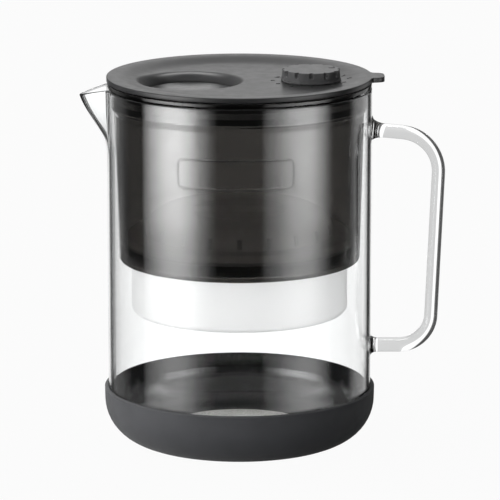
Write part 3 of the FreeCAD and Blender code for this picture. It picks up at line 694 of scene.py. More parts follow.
def spout_push(height):
    """How far the fold below the spout stands out of the wall at a height."""
    fold_z, slope, soft = 153 * MM, 0.68, 1.5 * MM
    curl_z, curl = 166 * MM, 15.0
    over = max(0.0, height - curl_z)
    return soft_ramp((height - fold_z) * slope, soft) - curl * over * over


def spout_bend(glass):
    """A function that pulls the points of the turned body out into the spout."""
    rim = glass.foot + glass.height
    top = spout_push(rim - glass.spout_droop)
    crease = 1.6 * MM
    fold_height = 30 * MM

    def place(point):
        if point.x > 0:
            return point
        across = math.hypot(point.y, crease) - crease * 0.6
        share = min(1.0, soft_ramp(1 - across / glass.spout_half_width, 0.06))
        drop = glass.spout_droop * share * smooth_step(point.z, rim - fold_height, rim)
        height = point.z - drop
        reach = spout_push(height) * glass.spout_reach / top
        return Vector((point.x - reach * share, point.y, height))

    return place


def glass_profile(glass):
    """The (r, z) outline of the glass wall, from the middle of the floor round the rim and back."""
    rim = glass.foot + glass.height
    inner = glass.radius - glass.wall
    floor = glass.foot + glass.floor
    lip = glass.wall * 0.49
    corners = [
        (0.0, glass.foot),
        (glass.radius, glass.foot, glass.corner),
        (glass.radius, rim, lip),
        (inner, rim, lip),
        (inner, floor, glass.corner - glass.wall),
        (0.0, floor),
    ]
    return divided(rounded(corners, 10, closed=False), 1.6 * MM)


def handle_rings(glass):
    """Rings of points along the handle, flared where it meets the wall."""
    rim = glass.foot + glass.height
    root = glass.radius - glass.wall * 0.4
    high, low = rim - 21.9 * MM, 48 * MM
    reach_high, reach_low = 34.2 * MM, 29.6 * MM
    slope = 3.3 * MM
    path = divided(rounded([
        (root, high),
        (glass.radius + reach_high, high - slope, 20 * MM),
        (glass.radius + reach_low, low, 16 * MM),
        (root, low),
    ], 24, closed=False), 0.6 * MM)
    section = round_rectangle(glass.handle_thick, glass.handle_width, 3.1 * MM, 7)
    rings = []
    for index, point in enumerate(path):
        before = path[max(0, index - 1)]
        after = path[min(len(path) - 1, index + 1)]
        along = (after - before).normalized()
        side = Vector((along.y, 0.0, -along.x))
        length, growth = (1.0, 1.0) if point.y > rim / 2 else (0.55, 0.6)
        share = clamped((point.x - glass.radius) / (glass.weld_length * length))
        grow = glass.weld_grow * growth * (1 - math.sqrt(1 - (1 - share) ** 2))
        ring = []
        for u, v in section:
            out = Vector((u, v)).normalized() * grow
            middle = Vector((point.x, 0.0, point.y))
            ring.append(middle + side * (u + out.x) + Vector((0.0, v + out.y, 0.0)))
        rings.append(ring)
    return rings


class PITCHER_OT_glass(Operator):
    """Make the glass body with its pulled spout and welded handle"""

    bl_idname = "pitcher.glass"
    bl_label = "Glass body"

    def execute(self, context):
        glass = context.scene.pitcher_glass
        turn = fine_turn(math.pi, math.radians(20), math.radians(0.3), math.radians(2))
        body = turned("glass_body", glass_profile(glass), turn, closed=False, place=spout_bend(glass))
        combined(body, swept("handle_rod", handle_rings(glass)), "UNION")
        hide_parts("glass_jug", "glass_handle")
        settle(body, "jug", clear_glass(glass.tint), sharp=75.0)
        return {"FINISHED"}


# Boot


BOOT_GAP = 0.15 * MM


def boot_profile(glass):
    """The (r, z) outline of the boot, from the middle of its underside round the lip and back."""
    outer, high = BOOT_HIGH.x, BOOT_HIGH.z
    inner = glass.radius + BOOT_GAP
    floor = glass.foot - 0.25 * MM
    return divided(rounded([
        (0.0, 0.0),
        (outer - 0.6 * MM, 0.0, glass.corner + glass.wall),
        (outer, high - 0.4 * MM, 0.3 * MM),
        (glass.radius + 0.8 * MM, high, 0.25 * MM),
        (inner, high, 0.15 * MM),
        (inner, floor, glass.corner + BOOT_GAP),
        (0.0, floor),
    ], 14, closed=False), 3 * MM)


def painted_shade_lining_profile(glass, fittings):
    """The (r, z) outline of a thin dark skin over the boot's inner face, between the pad and the lip,
    that paints the shade inside the boot.
    """
    near = fittings.pad_radius + 0.3 * MM
    outer_gap, inner_gap = 0.13 * MM, 0.07 * MM
    outer, inner = glass.radius + outer_gap, glass.radius + inner_gap
    low, high = glass.foot - 0.24 * MM, glass.foot - 0.18 * MM
    lip = BOOT_HIGH.z - 0.3 * MM
    return divided(rounded([
        (near, low),
        (outer, low, glass.corner + outer_gap),
        (outer, lip),
        (inner, lip),
        (inner, high, glass.corner + inner_gap),
        (near, high),
    ], 14), 3 * MM)


def pad_profile(glass, fittings):
    """The (r, z) outline of the pale pad below the glass floor."""
    low, high = glass.foot - 0.22 * MM, glass.foot - 0.05 * MM
    return rounded([
        (0.0, low),
        (fittings.pad_radius, low),
        (fittings.pad_radius, high, 0.1 * MM),
        (0.0, high),
    ], 4, closed=False)


class PITCHER_OT_boot(Operator):
    """Make the silicone boot that the glass stands in"""

    bl_idname = "pitcher.boot"
    bl_label = "Silicone boot"

    def execute(self, context):
        glass = context.scene.pitcher_glass
        fittings = context.scene.pitcher_fittings
        boot = turned("boot_cup", boot_profile(glass), even_turn(240), closed=False)
        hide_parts("silicone_boot")
        settle(boot, "jug", boot_silicone("boot_silicone", fittings.boot))
        # A dark skin over the boot's inner face: painted shade inside the boot
        painted_shade_lining = turned("boot_painted_shade", painted_shade_lining_profile(glass, fittings), even_turn(240))
        settle(painted_shade_lining, "jug", boot_silicone("painted_shade_silicone", fittings.painted_shade_lining))
        pad = turned("base_pad", pad_profile(glass, fittings), even_turn(160), closed=False)
        settle(pad, "jug", boot_silicone("pad_silicone", fittings.pad))
        return {"FINISHED"}


# Hopper


def plate_ridge(hopper):
    """A function that raises the line round the bare plate on the tank's front."""
    half_width = hopper.plate_width / 2
    half_height = hopper.plate_height / 2
    corner = 3.2 * MM
    ridge = hopper.ridge_width / 2

    def place(point):
        radius = math.hypot(point.x, point.y)
        across = (math.atan2(point.x, -point.y) - hopper.plate_turn) * radius
        upward = point.z - hopper.plate_middle
        edge = rectangle_depth(abs(across) - half_width, abs(upward) - half_height, corner)
        inside = radius < hopper.low_radius + (point.z - HOPPER_LOW.z) * 0.02
        if inside or abs(edge) > ridge:
            return point
        raised = hopper.ridge_relief * (0.5 + 0.5 * math.cos(math.pi * edge / ridge))
        grow = 1 + raised / radius
        return Vector((point.x * grow, point.y * grow, point.z))

    return place


def tank_profile(hopper):
    """The (r, z) outline of the tank, from the seat's foot round the wall and back."""
    low, high = HOPPER_LOW.z, HOPPER_HIGH.z
    flange = HOPPER_HIGH.x
    wall = hopper.wall
    flange_low = high - 2.2 * MM
    collar = 63.7 * MM
    collar_low, wall_high = high - 11.7 * MM, high - 14.9 * MM
    mouth = collar - wall
    floor = low + 2.4 * MM
    seat = 54.7 * MM
    seat_out, seat_high = seat + 1.5 * MM, low + 7.8 * MM
    return rounded([
        (seat, low),
        (hopper.low_radius, low, 2.4 * MM),
        (hopper.high_radius, wall_high, 0.6 * MM),
        (collar, collar_low, 0.6 * MM),
        (collar, flange_low, 0.3 * MM),
        (flange, flange_low, 0.4 * MM),
        (flange, high, 0.5 * MM),
        (mouth, high, 0.5 * MM),
        (mouth, collar_low - wall / 2, 0.8 * MM),
        (hopper.high_radius - wall, wall_high - wall / 2, 0.6 * MM),
        (hopper.low_radius - wall, floor, 1.2 * MM),
        (seat_out, floor, 0.4 * MM),
        (seat_out, seat_high, 0.4 * MM),
        (seat, seat_high, 0.4 * MM),
    ], 6)


def plate_rows(profile, hopper):
    """The profile with fine rows where the plate's raised line runs."""
    reach = hopper.plate_height / 2 + hopper.ridge_width
    rows = [profile[0]]
    for first, last in zip(profile, profile[1:] + profile[:1]):
        outer_wall = first.x > hopper.low_radius - TINY and last.y - first.y > 4 * reach
        if outer_wall:
            for height in (hopper.plate_middle - reach, hopper.plate_middle + reach):
                share = (height - first.y) / (last.y - first.y)
                rows.append(first.lerp(last, share))
            begin, end = rows[-2], rows[-1]
            rows[-1:] = divided([begin, end], 0.28 * MM)[1:]
        rows.append(last)
    return rows[:-1]


class PITCHER_OT_hopper(Operator):
    """Make the smoke tank with the bare plate on its front"""

    bl_idname = "pitcher.hopper"
    bl_label = "Hopper tank"

    def execute(self, context):
        hopper = context.scene.pitcher_hopper
        front = -math.pi / 2
        turn = fine_turn(front, math.radians(31), math.radians(0.3), math.radians(2))
        rows = plate_rows(tank_profile(hopper), hopper)
        tank = turned("smoke_tank", rows, turn, place=plate_ridge(hopper))
        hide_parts("hopper_tank")
        settle(tank, "hopper", smoke_plastic(hopper.tint), sharp=50.0)
        return {"FINISHED"}


# Cartridge and filter bed


def ring_bore(node):
    """The inner radius of a CAD ring, read from its points."""
    low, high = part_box(node)
    middle = Vector(((low.x + high.x) / 2, (low.y + high.y) / 2, 0.0))
    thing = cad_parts[node]
    places = [thing.matrix_world @ point.co for point in thing.data.vertices]
    return min((Vector((place.x, place.y, 0.0)) - middle).length for place in places)


def soft_ring(name, node, corner):
    """A round-edged ring in the place of a CAD ring, centred on that ring's own axis."""
    low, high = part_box(node)
    middle = Vector(((low.x + high.x) / 2, 0.0, 0.0))
    outer = (high.x - low.x) / 2
    inner = ring_bore(node)
    profile = rounded([
        (inner, low.z, corner),
        (outer, low.z, corner),
        (outer, (low.z + high.z) / 2),
        (outer, high.z, corner),
        (inner, high.z, corner),
    ], 6)
    return turned(name, profile, even_turn(160), place=moved(middle))


class PITCHER_OT_cartridge(Operator):
    """Finish the white filter cup, its cap and its seal"""

    bl_idname = "pitcher.cartridge"
    bl_label = "Filter cartridge"

    def execute(self, context):
        fittings = context.scene.pitcher_fittings
        white = satin_plastic("white_plastic", fittings.cartridge)
        for node in ("cartridge_shell", "cartridge_cap"):
            dress(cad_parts[node], white)
        seal = soft_ring("cartridge_ring", "cartridge_seal", 0.5 * MM)
        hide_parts("cartridge_seal")
        settle(seal, "cartridge", seal_silicone(fittings.seal))
        return {"FINISHED"}


def felt_pad(name, node):
    """A felt disc with soft edges and an uneven, slightly puffed face."""
    low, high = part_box(node)
    outer = high.x
    profile = divided(rounded([
        (0.0, low.z),
        (outer, low.z, 0.8 * MM),
        (outer, high.z, 1.4 * MM),
        (0.0, high.z),
    ], 5, closed=False), 1.5 * MM)
    middle = (low.z + high.z) / 2

    def place(point):
        if point.z < middle or math.hypot(point.x, point.y) > outer - 2 * MM:
            return point
        puffs = math.sin(point.x * 900) * math.sin(point.y * 760 + 1.0)
        swell = math.sin(point.x * 310 - point.y * 420)
        return point + Vector((0.0, 0.0, -0.12 * MM + (puffs + swell) * 0.05 * MM))

    return turned(name, profile, even_turn(120), closed=False, place=place)


class PITCHER_OT_filter_bed(Operator):
    """Finish the screens and make the layers of the filter bed"""

    bl_idname = "pitcher.filter_bed"
    bl_label = "Filter bed"

    def execute(self, context):
        fittings = context.scene.pitcher_fittings
        mesh = woven_screen(fittings.screen)
        for node in ("outlet_screen", "inlet_screen"):
            dress(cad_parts[node], mesh)
        beads = packed_grains(
            "resin_beads", fittings.resin, scale=900.0, share=0.35, gloss=(0.2, 0.4), depth=0.5 * MM)
        dress(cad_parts["resin_media"], beads)
        granules = packed_grains(
            "carbon_granules", fittings.carbon, scale=700.0, share=0.6, gloss=(0.35, 0.7), depth=0.9 * MM)
        dress(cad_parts["carbon_media"], granules)
        pad = felt_pad("felt_disc", "fibre_pad")
        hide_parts("fibre_pad")
        settle(pad, "cartridge", fibre_felt(fittings.felt))
        return {"FINISHED"}


# Lid


FILL_X = (FLAP_SEAL_LOW.x + FLAP_SEAL_HIGH.x) / 2
LID_FLAT_Z = LID_HIGH.z - 2.6 * MM
LID_PLATE_Z = LID_FLAT_Z - 2.4 * MM
LID_EDGE_Z = LID_HIGH.z - 2.5 * MM
FUNNEL_Z = LID_FLAT_Z - 4.4 * MM
FUNNEL_LIP_Z = FUNNEL_Z - 1.5 * MM
THROAT_R = 21.6 * MM
LIP_R = THROAT_R + 2 * MM
FUNNEL_R = 27.8 * MM
LID_R = LID_HIGH.y
DISH_IN, DISH_OUT = 47.2 * MM, 62.8 * MM
PLATE_IN, PLATE_OUT = 52.4 * MM, 57.6 * MM
HINGE = (PIN_LOW + PIN_HIGH) / 2
DIAL_X = (KNOB_LOW.x + KNOB_HIGH.x) / 2
STEM_R = 3.9 * MM
DIAL_FOOT_Z = LID_FLAT_Z + 0.15 * MM
DIAL_TOP_Z = KNOB_HIGH.z - 0.75 * MM


def lid_face(x, y, roll):
    """Height of the lid's upper face: a raised rim, a dished middle and the fill funnel."""
    rim = smooth_step(math.hypot(x, y), DISH_IN, DISH_OUT)
    dish = LID_FLAT_Z + (LID_HIGH.z - LID_FLAT_Z) * rim
    share = clamped((math.hypot(x - FILL_X, y) - THROAT_R) / (FUNNEL_R - THROAT_R))
    if share >= 1:
        return dish
    return dish - (LID_FLAT_Z - FUNNEL_Z) * (1 - share) ** roll


def lid_under(x, y):
    """Height of the lid's lower face and of the outside of its funnel."""
    rise = clamped((math.hypot(x, y) - PLATE_IN) / (PLATE_OUT - PLATE_IN))
    plate = LID_PLATE_Z + (LID_EDGE_Z - LID_PLATE_Z) * rise
    slope = (LID_PLATE_Z - FUNNEL_LIP_Z) / (FUNNEL_R - THROAT_R)
    cone = FUNNEL_LIP_Z + (math.hypot(x - FILL_X, y) - LIP_R) * slope
    return min(plate, max(cone, FUNNEL_LIP_Z))


def tab_depth(point, half, end):
    """Below zero inside the lid's outline and above zero outside it."""
    disc = point.length - LID_R
    if point.x < 0:
        return disc
    corner, soft = 4 * MM, 1.1 * MM
    return soft_least(disc, rectangle_depth(point.x - end, abs(point.y) - half, corner), soft)


def lid_outline(lid, angles):
    """The lid's outline with the thumb tab blended into it, one point for each angle."""
    points = []
    half = lid.tab_width / 2
    end = LID_R + lid.tab_reach
    for angle in angles:
        way = Vector((math.cos(angle), math.sin(angle)))
        low, high = LID_R, end
        for _ in range(40):
            middle = (low + high) / 2
            if tab_depth(way * middle, half, end) > 0:
                high = middle
            else:
                low = middle
        points.append(way * low)
    return points


def shrunk(points, inset):
    """An outline drawn in by an inset, at right angles to itself."""
    count = len(points)
    result = []
    for index, point in enumerate(points):
        along = (points[(index + 1) % count] - points[index - 1]).normalized()
        result.append(point + Vector((-along.y, along.x)) * inset)
    return result


def face_ring(points, lid):
    """Points laid on the lid's upper face."""
    return [(*point, lid_face(point.x, point.y, lid.funnel_roll)) for point in points]


def lid_rings(lid):
    """Rings of the lid's skin: down the throat, up the funnel, over the rim and back below."""
    tab = fine_turn(0.0, math.radians(13), math.radians(0.4), math.radians(1.5))
    outline = lid_outline(lid, tab)
    centre = Vector((FILL_X, 0.0))
    ways = [(point - centre).normalized() for point in outline]
    edge = lid.edge_round
    rings = [[(*(centre + way * THROAT_R), FUNNEL_LIP_Z) for way in ways]]
    reach = THROAT_R
    while reach < FUNNEL_R + 3 * MM:
        rings.append(face_ring([centre + way * reach for way in ways], lid))
        reach += 0.45 * MM
    inner = [centre + way * reach for way in ways]
    outer = shrunk(outline, edge)
    steps = 44
    for step in range(steps + 1):
        ring = [first.lerp(last, step / steps) for first, last in zip(inner, outer)]
        rings.append(face_ring(ring, lid))
    for height, start, stop in ((LID_HIGH.z - edge, 90, 0), (LID_EDGE_Z + edge, 0, -90)):
        for step in range(1, 7):
            angle = math.radians(start + (stop - start) * step / 6)
            ring = shrunk(outline, edge - edge * math.cos(angle))
            rings.append([(*point, height + edge * math.sin(angle)) for point in ring])
    lip = [centre + way * LIP_R for way in ways]
    for step in range(1, steps + 1):
        ring = [first.lerp(last, step / steps) for first, last in zip(outer, lip)]
        rings.append([(*point, lid_under(point.x, point.y)) for point in ring])
    return rings


def hinge_ear(name, side):
    """One ear under the lid that carries the flap's pin, round about the pin."""
    half = 2.6 * MM
    outline = [Vector((half, LID_PLATE_Z + 0.6 * MM)), Vector((half, HINGE.z))]
    for step in range(1, 16):
        angle = -math.pi * step / 16
        outline.append(Vector((half * math.cos(angle), HINGE.z + half * math.sin(angle))))
    outline += [Vector((-half, HINGE.z)), Vector((-half, FUNNEL_LIP_Z + 1.9 * MM))]
    near, far = 9 * MM * side, 12 * MM * side
    chamfer = 0.4 * MM
    soft = chamfer * side
    rings = []
    for depth, inset in ((near, chamfer), (near + soft, 0.0), (far - soft, 0.0), (far, chamfer)):
        ring = []
        for u, v in outline:
            out = Vector((u, min(0.0, v - HINGE.z)))
            trim = out.normalized() * inset if out.length > TINY else Vector((0.0, 0.0))
            ring.append((HINGE.x + u - trim.x, depth, v - trim.y))
        rings.append(ring)
    return swept(name, rings)


def upright_rod(name, x, radius, low, high):
    """A round rod along Z, used as a cutter."""
    ring = [(x + radius * math.cos(angle), radius * math.sin(angle)) for angle in even_turn(64)]
    return swept(name, [[(*point, height) for point in ring] for height in (low, high)])


def month_number(text, lid, angle):
    """One raised month number beside the dial, laid on the lid's face."""
    letters = bpy.data.curves.new("month_letters", "FONT")
    letters.body = text
    letters.size = lid.numeral_height * 1.35
    letters.align_x = "CENTER"
    letters.align_y = "CENTER"
    letters.extrude = lid.numeral_relief
    letters.resolution_u = 3
    pattern = bpy.data.objects.new("month_pattern", letters)
    bpy.context.scene.collection.objects.link(pattern)
    graph = bpy.context.evaluated_depsgraph_get()
    mesh = bpy.data.meshes.new_from_object(pattern.evaluated_get(graph), depsgraph=graph)
    bpy.data.objects.remove(pattern)
    x = DIAL_X + lid.scale_radius * math.cos(angle)
    y = lid.scale_radius * math.sin(angle)
    step = 0.2 * MM
    roll = lid.funnel_roll
    rise_x = (lid_face(x + step, y, roll) - lid_face(x - step, y, roll)) / (2 * step)
    rise_y = (lid_face(x, y + step, roll) - lid_face(x, y - step, roll)) / (2 * step)
    up = Vector((-rise_x, -rise_y, 1.0)).normalized()
    out = Vector((math.cos(angle), math.sin(angle), 0.0))
    side = out.cross(up).normalized()
    out = up.cross(side)
    turn = Matrix((side, out, up)).transposed().to_4x4()
    mesh.transform(Matrix.Translation((x, y, lid_face(x, y, roll))) @ turn)
    return mesh


class PITCHER_OT_lid(Operator):
    """Make the dished lid with its funnel and tab, and finish the skirt and gasket below it"""

    bl_idname = "pitcher.lid"
    bl_label = "Lid"

    def execute(self, context):
        lid = context.scene.pitcher_lid
        black = lid_plastic("lid_plastic", lid.colour, shine=0.42)
        shape = bmesh.new()
        loops = [[shape.verts.new(point) for point in ring] for ring in lid_rings(lid)]
        for low, high in zip(loops, loops[1:] + loops[:1]):
            join_rings(shape, low, high)
        top = new_object("lid_disc", shape)
        for name, side in (("ear_left", -1), ("ear_right", 1)):
            combined(top, hinge_ear(name, side), "UNION")
        past = 1 * MM
        bore_r = STEM_R + 0.15 * MM
        bore = upright_rod("stem_bore", DIAL_X, bore_r, LID_PLATE_Z - past, LID_FLAT_Z + past)
        combined(top, bore, "DIFFERENCE")
        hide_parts("lid_top")
        settle(top, "lid", black, sharp=50.0)
        dress(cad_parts["lid_liner"], black)
        gasket = soft_ring("gasket_ring", "lid_gasket", 0.35 * MM)
        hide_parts("lid_gasket")
        settle(gasket, "lid", finishes["seal_silicone"])
        return {"FINISHED"}


class PITCHER_OT_month_scale(Operator):
    """Make the ring of raised month numbers round the dial"""

    bl_idname = "pitcher.month_scale"
    bl_label = "Month scale"

    def execute(self, context):
        lid = context.scene.pitcher_lid
        shape = bmesh.new()
        for month in range(12):
            mesh = month_number(str(month + 1), lid, math.radians(90 - 30 * (month + 1)))
            shape.from_mesh(mesh)
            bpy.data.meshes.remove(mesh)
        scale = new_object("month_scale", shape)
        plastic = satin_plastic("scale_plastic", lid.scale_colour)
        settle(scale, "lid", plastic, sharp=30.0)
        return {"FINISHED"}


# Flap


def spring_line():
    """The wire's line: a leg down from the lid, the turns about the pin and a leg under the flap."""
    radius, pitch, turns = 1.55 * MM, 1.1 * MM, 4.25
    lid_leg, flap_leg = 3.6 * MM, 8 * MM
    half = pitch * turns / 2
    steps = 300
    line = [HINGE + Vector((radius, -half, lid_leg * (1 - step / 6))) for step in range(6)]
    for step in range(steps + 1):
        angle = math.tau * turns * step / steps
        along = pitch * angle / math.tau - half
        line.append(HINGE + Vector((radius * math.cos(angle), along, -radius * math.sin(angle))))
    line += [line[-1] - Vector((flap_leg * step / 8, 0.0, 0.0)) for step in range(1, 9)]
    return line, half


def wire_rings(line, radius, count):
    """Rings of points along a line in space, turned no more than the line itself turns."""
    rings = []
    side = Vector((0.0, 1.0, 0.0))
    for index, point in enumerate(line):
        along = (line[min(len(line) - 1, index + 1)] - line[max(0, index - 1)]).normalized()
        side = (side - along * side.dot(along)).normalized()
        up = along.cross(side)
        rings.append([
            point + (side * math.cos(angle) + up * math.sin(angle)) * radius
            for angle in even_turn(count)
        ])
    return rings


def lying_rod(name, x, z, radius, half):
    """A round rod along Y, used as a knuckle or as a cutter."""
    ring = [(x + radius * math.cos(angle), z + radius * math.sin(angle)) for angle in even_turn(48)]
    return swept(name, [[(u, y, v) for u, v in ring] for y in (-half, half)])


def upright_block(name, near, far, low, high, half):
    """A block between two X and two Z values, used as the hinge arm or as a cutter."""
    corners = ((near, -half), (far, -half), (far, half), (near, half))
    return swept(name, [[(x, y, height) for x, y in corners] for height in (low, high)])


def dished_flap(lid):
    """The flap: a plug with a hollowed face on a wider plate, and the arm and knuckle of its hinge."""
    low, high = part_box("fill_flap")
    plate_high = FLAP_SEAL_LOW.z
    plate_r = FILL_X - low.x
    plug_r = THROAT_R - 0.35 * MM
    knuckle_r = high.x - HINGE.x
    knuckle_half = 8.6 * MM
    gap_half = 3.6 * MM
    bore_r = 1.05 * MM
    face = [
        (plug_r * share, FUNNEL_Z - lid.flap_dish * (1 - share ** 2))
        for share in (0.95, 0.85, 0.7, 0.5, 0.3, 0.15, 0)
    ]
    profile = divided(rounded([
        (0.0, low.z),
        (plate_r, low.z, 0.45 * MM),
        (plate_r, plate_high, 0.25 * MM),
        (plug_r, plate_high, 0.2 * MM),
        (plug_r, FUNNEL_Z, 0.35 * MM),
        *face,
    ], 5, closed=False), 1.2 * MM)
    fill = Vector((FILL_X, 0.0, 0.0))
    flap = turned("flap_disc", profile, even_turn(180), closed=False, place=moved(fill))
    arm_low, arm_high = low.z + 0.05 * MM, plate_high - 0.05 * MM
    arm = upright_block("hinge_arm", FILL_X + plug_r - 1 * MM, HINGE.x, arm_low, arm_high, knuckle_half)
    combined(flap, arm, "UNION")
    combined(flap, lying_rod("knuckle", HINGE.x, HINGE.z, knuckle_r, knuckle_half), "UNION")
    past = knuckle_r + 1 * MM
    gap_low, gap_high = HINGE.z - past, HINGE.z + past
    gap = upright_block("spring_gap", FILL_X + plate_r, HINGE.x + past, gap_low, gap_high, gap_half)
    combined(flap, gap, "DIFFERENCE")
    bore = lying_rod("pin_bore", HINGE.x, HINGE.z, bore_r, knuckle_half + 1 * MM)
    combined(flap, bore, "DIFFERENCE")
    return flap


class PITCHER_OT_flap(Operator):
    """Make the fill flap with its seal and its torsion spring, and finish its pin"""

    bl_idname = "pitcher.flap"
    bl_label = "Fill flap"

    def execute(self, context):
        lid = context.scene.pitcher_lid
        fittings = context.scene.pitcher_fittings
        steel = brushed_steel(fittings.steel)
        disc = dished_flap(lid)
        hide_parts("fill_flap")
        settle(disc, "flap", flap_plastic(lid.flap_colour))
        dress(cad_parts["flap_pin"], steel)
        seal = soft_ring("flap_ring", "flap_seal", 0.3 * MM)
        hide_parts("flap_seal")
        settle(seal, "flap", finishes["seal_silicone"])
        line, half = spring_line()
        wire_r = 0.3 * MM
        spring = swept("torsion_spring", wire_rings(line, wire_r, 12))
        shade(spring, sharp=60.0)
        dress(spring, steel)
        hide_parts("flap_spring")
        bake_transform(spring)
        return {"FINISHED"}


# Dial


def grip_knob(lid):
    """The dial: a tapered knob on its stem, with twelve round-ended grooves down from its top edge."""
    top_radius = lid.dial_radius - 0.6 * MM
    groove_low = DIAL_FOOT_Z + 2.6 * MM
    groove_turn = math.radians(30)
    half = 1.2 * MM
    blend = 2.5 * MM
    profile = divided(rounded([
        (0.0, KNOB_LOW.z),
        (STEM_R, KNOB_LOW.z),
        (STEM_R, DIAL_FOOT_Z),
        (lid.dial_radius, DIAL_FOOT_Z, 0.15 * MM),
        (lid.dial_radius, DIAL_FOOT_Z + 0.8 * MM, 0.15 * MM),
        (lid.dial_radius - 0.3 * MM, DIAL_FOOT_Z + 1.0 * MM, 0.1 * MM),
        (top_radius, DIAL_TOP_Z, 0.4 * MM),
        (0.0, DIAL_TOP_Z),
    ], 5, closed=False), 0.35 * MM)

    def place(point):
        radius = math.hypot(point.x, point.y)
        angle = math.atan2(point.y, point.x)
        groove = round(angle / groove_turn) * groove_turn
        below = max(0.0, groove_low + half - point.z)
        reach = math.hypot((angle - groove) * radius, below) / half
        edge = clamped((radius - top_radius + blend) / blend)
        drawn = radius - lid.groove_depth * max(0.0, 1 - reach * reach) * edge
        return Vector((DIAL_X + drawn * math.cos(angle), drawn * math.sin(angle), point.z))

    return turned("grip_knob", profile, even_turn(480), closed=False, place=place)


def dial_mark():
    """The small raised mark on top of the dial."""
    turn = Matrix.Rotation(math.radians(20), 2)
    out = Vector((11 * MM, 0.0))
    outline = [turn @ (point + out) for point in round_rectangle(3.2 * MM, 1.7 * MM, 0.5 * MM, 5)]
    heights = (DIAL_TOP_Z - 0.1 * MM, DIAL_TOP_Z + 0.2 * MM)
    return swept("dial_mark", [[(DIAL_X + x, y, height) for x, y in outline] for height in heights])


class PITCHER_OT_dial(Operator):
    """Make the reminder dial with its grip grooves and mark, and finish the parts that hold it"""

    bl_idname = "pitcher.dial"
    bl_label = "Reminder dial"

    def execute(self, context):
        lid = context.scene.pitcher_lid
        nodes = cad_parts
        knob = grip_knob(lid)
        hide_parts("dial_knob")
        plastic = lid_plastic("dial_plastic", lid.dial_colour, shine=0.32)
        settle(knob, "dial", plastic)
        mark = dial_mark()
        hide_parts("dial_pointer")
        plastic = satin_plastic("pointer_plastic", lid.pointer_colour)
        settle(mark, "dial", plastic)
        dress(nodes["dial_retainer"], finishes["white_plastic"])
        for node in ("dial_screw", "dial_detent_leaf"):
            dress(nodes[node], finishes["steel"])
        return {"FINISHED"}


# Stage


SKY_STRENGTH = 8.0


def set_stops(ramp, stops):
    """Give a colour ramp its (position, value) stops."""
    elements = ramp.color_ramp.elements
    while len(elements) < len(stops):
        elements.new(1.0)
    for element, (position, value) in zip(elements, stops):
        element.position = position
        element.color = (value, value, value, 1.0)


class LightNodes:
    """A light's nodes, with short ways to ask for a height, a compass angle or a light's path."""

    def __init__(self, tree, coordinate, unit=1.0):
        self.tree = tree
        self.unit = unit
        place = tree.nodes.new("ShaderNodeSeparateXYZ")
        tree.links.new(tree.nodes.new("ShaderNodeTexCoord").outputs[coordinate], place.inputs["Vector"])
        self.height = place.outputs["Z"]
        behind = self.work_out("MULTIPLY", place.outputs["Y"], -1.0)
        angle = self.work_out("ARCTAN2", place.outputs["X"], behind)
        self.turn = self.work_out("MULTIPLY_ADD", angle, 1 / math.tau, 0.5)
        self.path = tree.nodes.new("ShaderNodeLightPath").outputs

    def feed(self, value, socket):
        """Link an output to a socket, or set a constant on it."""
        if isinstance(value, bpy.types.NodeSocket):
            self.tree.links.new(value, socket)
        else:
            socket.default_value = value

    def work_out(self, operation, *values):
        """One operation on up to three values."""
        node = self.tree.nodes.new("ShaderNodeMath")
        node.operation = operation
        for value, socket in zip(values, node.inputs):
            self.feed(value, socket)
        return node.outputs["Value"]

    def grey(self, level):
        """An even light."""
        return (level * self.unit, level * self.unit, level * self.unit, 1.0)

    def ring(self, name, *stops):
        """Light that changes with the compass angle from the camera's side, as (degrees, level) stops."""
        ramp = self.tree.nodes.new("ShaderNodeValToRGB")
        ramp.label = name
        set_stops(ramp, [((degrees + 180) / 360, level * self.unit) for degrees, level in stops])
        self.feed(self.turn, ramp.inputs["Fac"])
        return ramp.outputs["Color"]

    def mix(self, factor, off, on):
        """A blend of two lights by a factor between 0 and 1."""
        node = self.tree.nodes.new("ShaderNodeMix")
        node.data_type = "RGBA"
        for name, value in (("Factor", factor), ("A", off), ("B", on)):
            self.feed(value, node.inputs[name])
        return node.outputs["Result"]

    def above(self, low, high):
        """A smooth rise from 0 to 1 between two heights."""
        node = self.tree.nodes.new("ShaderNodeMapRange")
        node.interpolation_type = "SMOOTHSTEP"
        for name, value in (("Value", self.height), ("From Min", low), ("From Max", high)):
            self.feed(value, node.inputs[name])
        return node.outputs["Result"]

    def without(self, whole, part):
        """One factor where another isn't."""
        return self.work_out("SUBTRACT", whole, part)

    def more(self, depth, least):
        """1 where the light's path has been turned more often than asked, such as through glass."""
        return self.work_out("GREATER_THAN", self.path[depth], least)


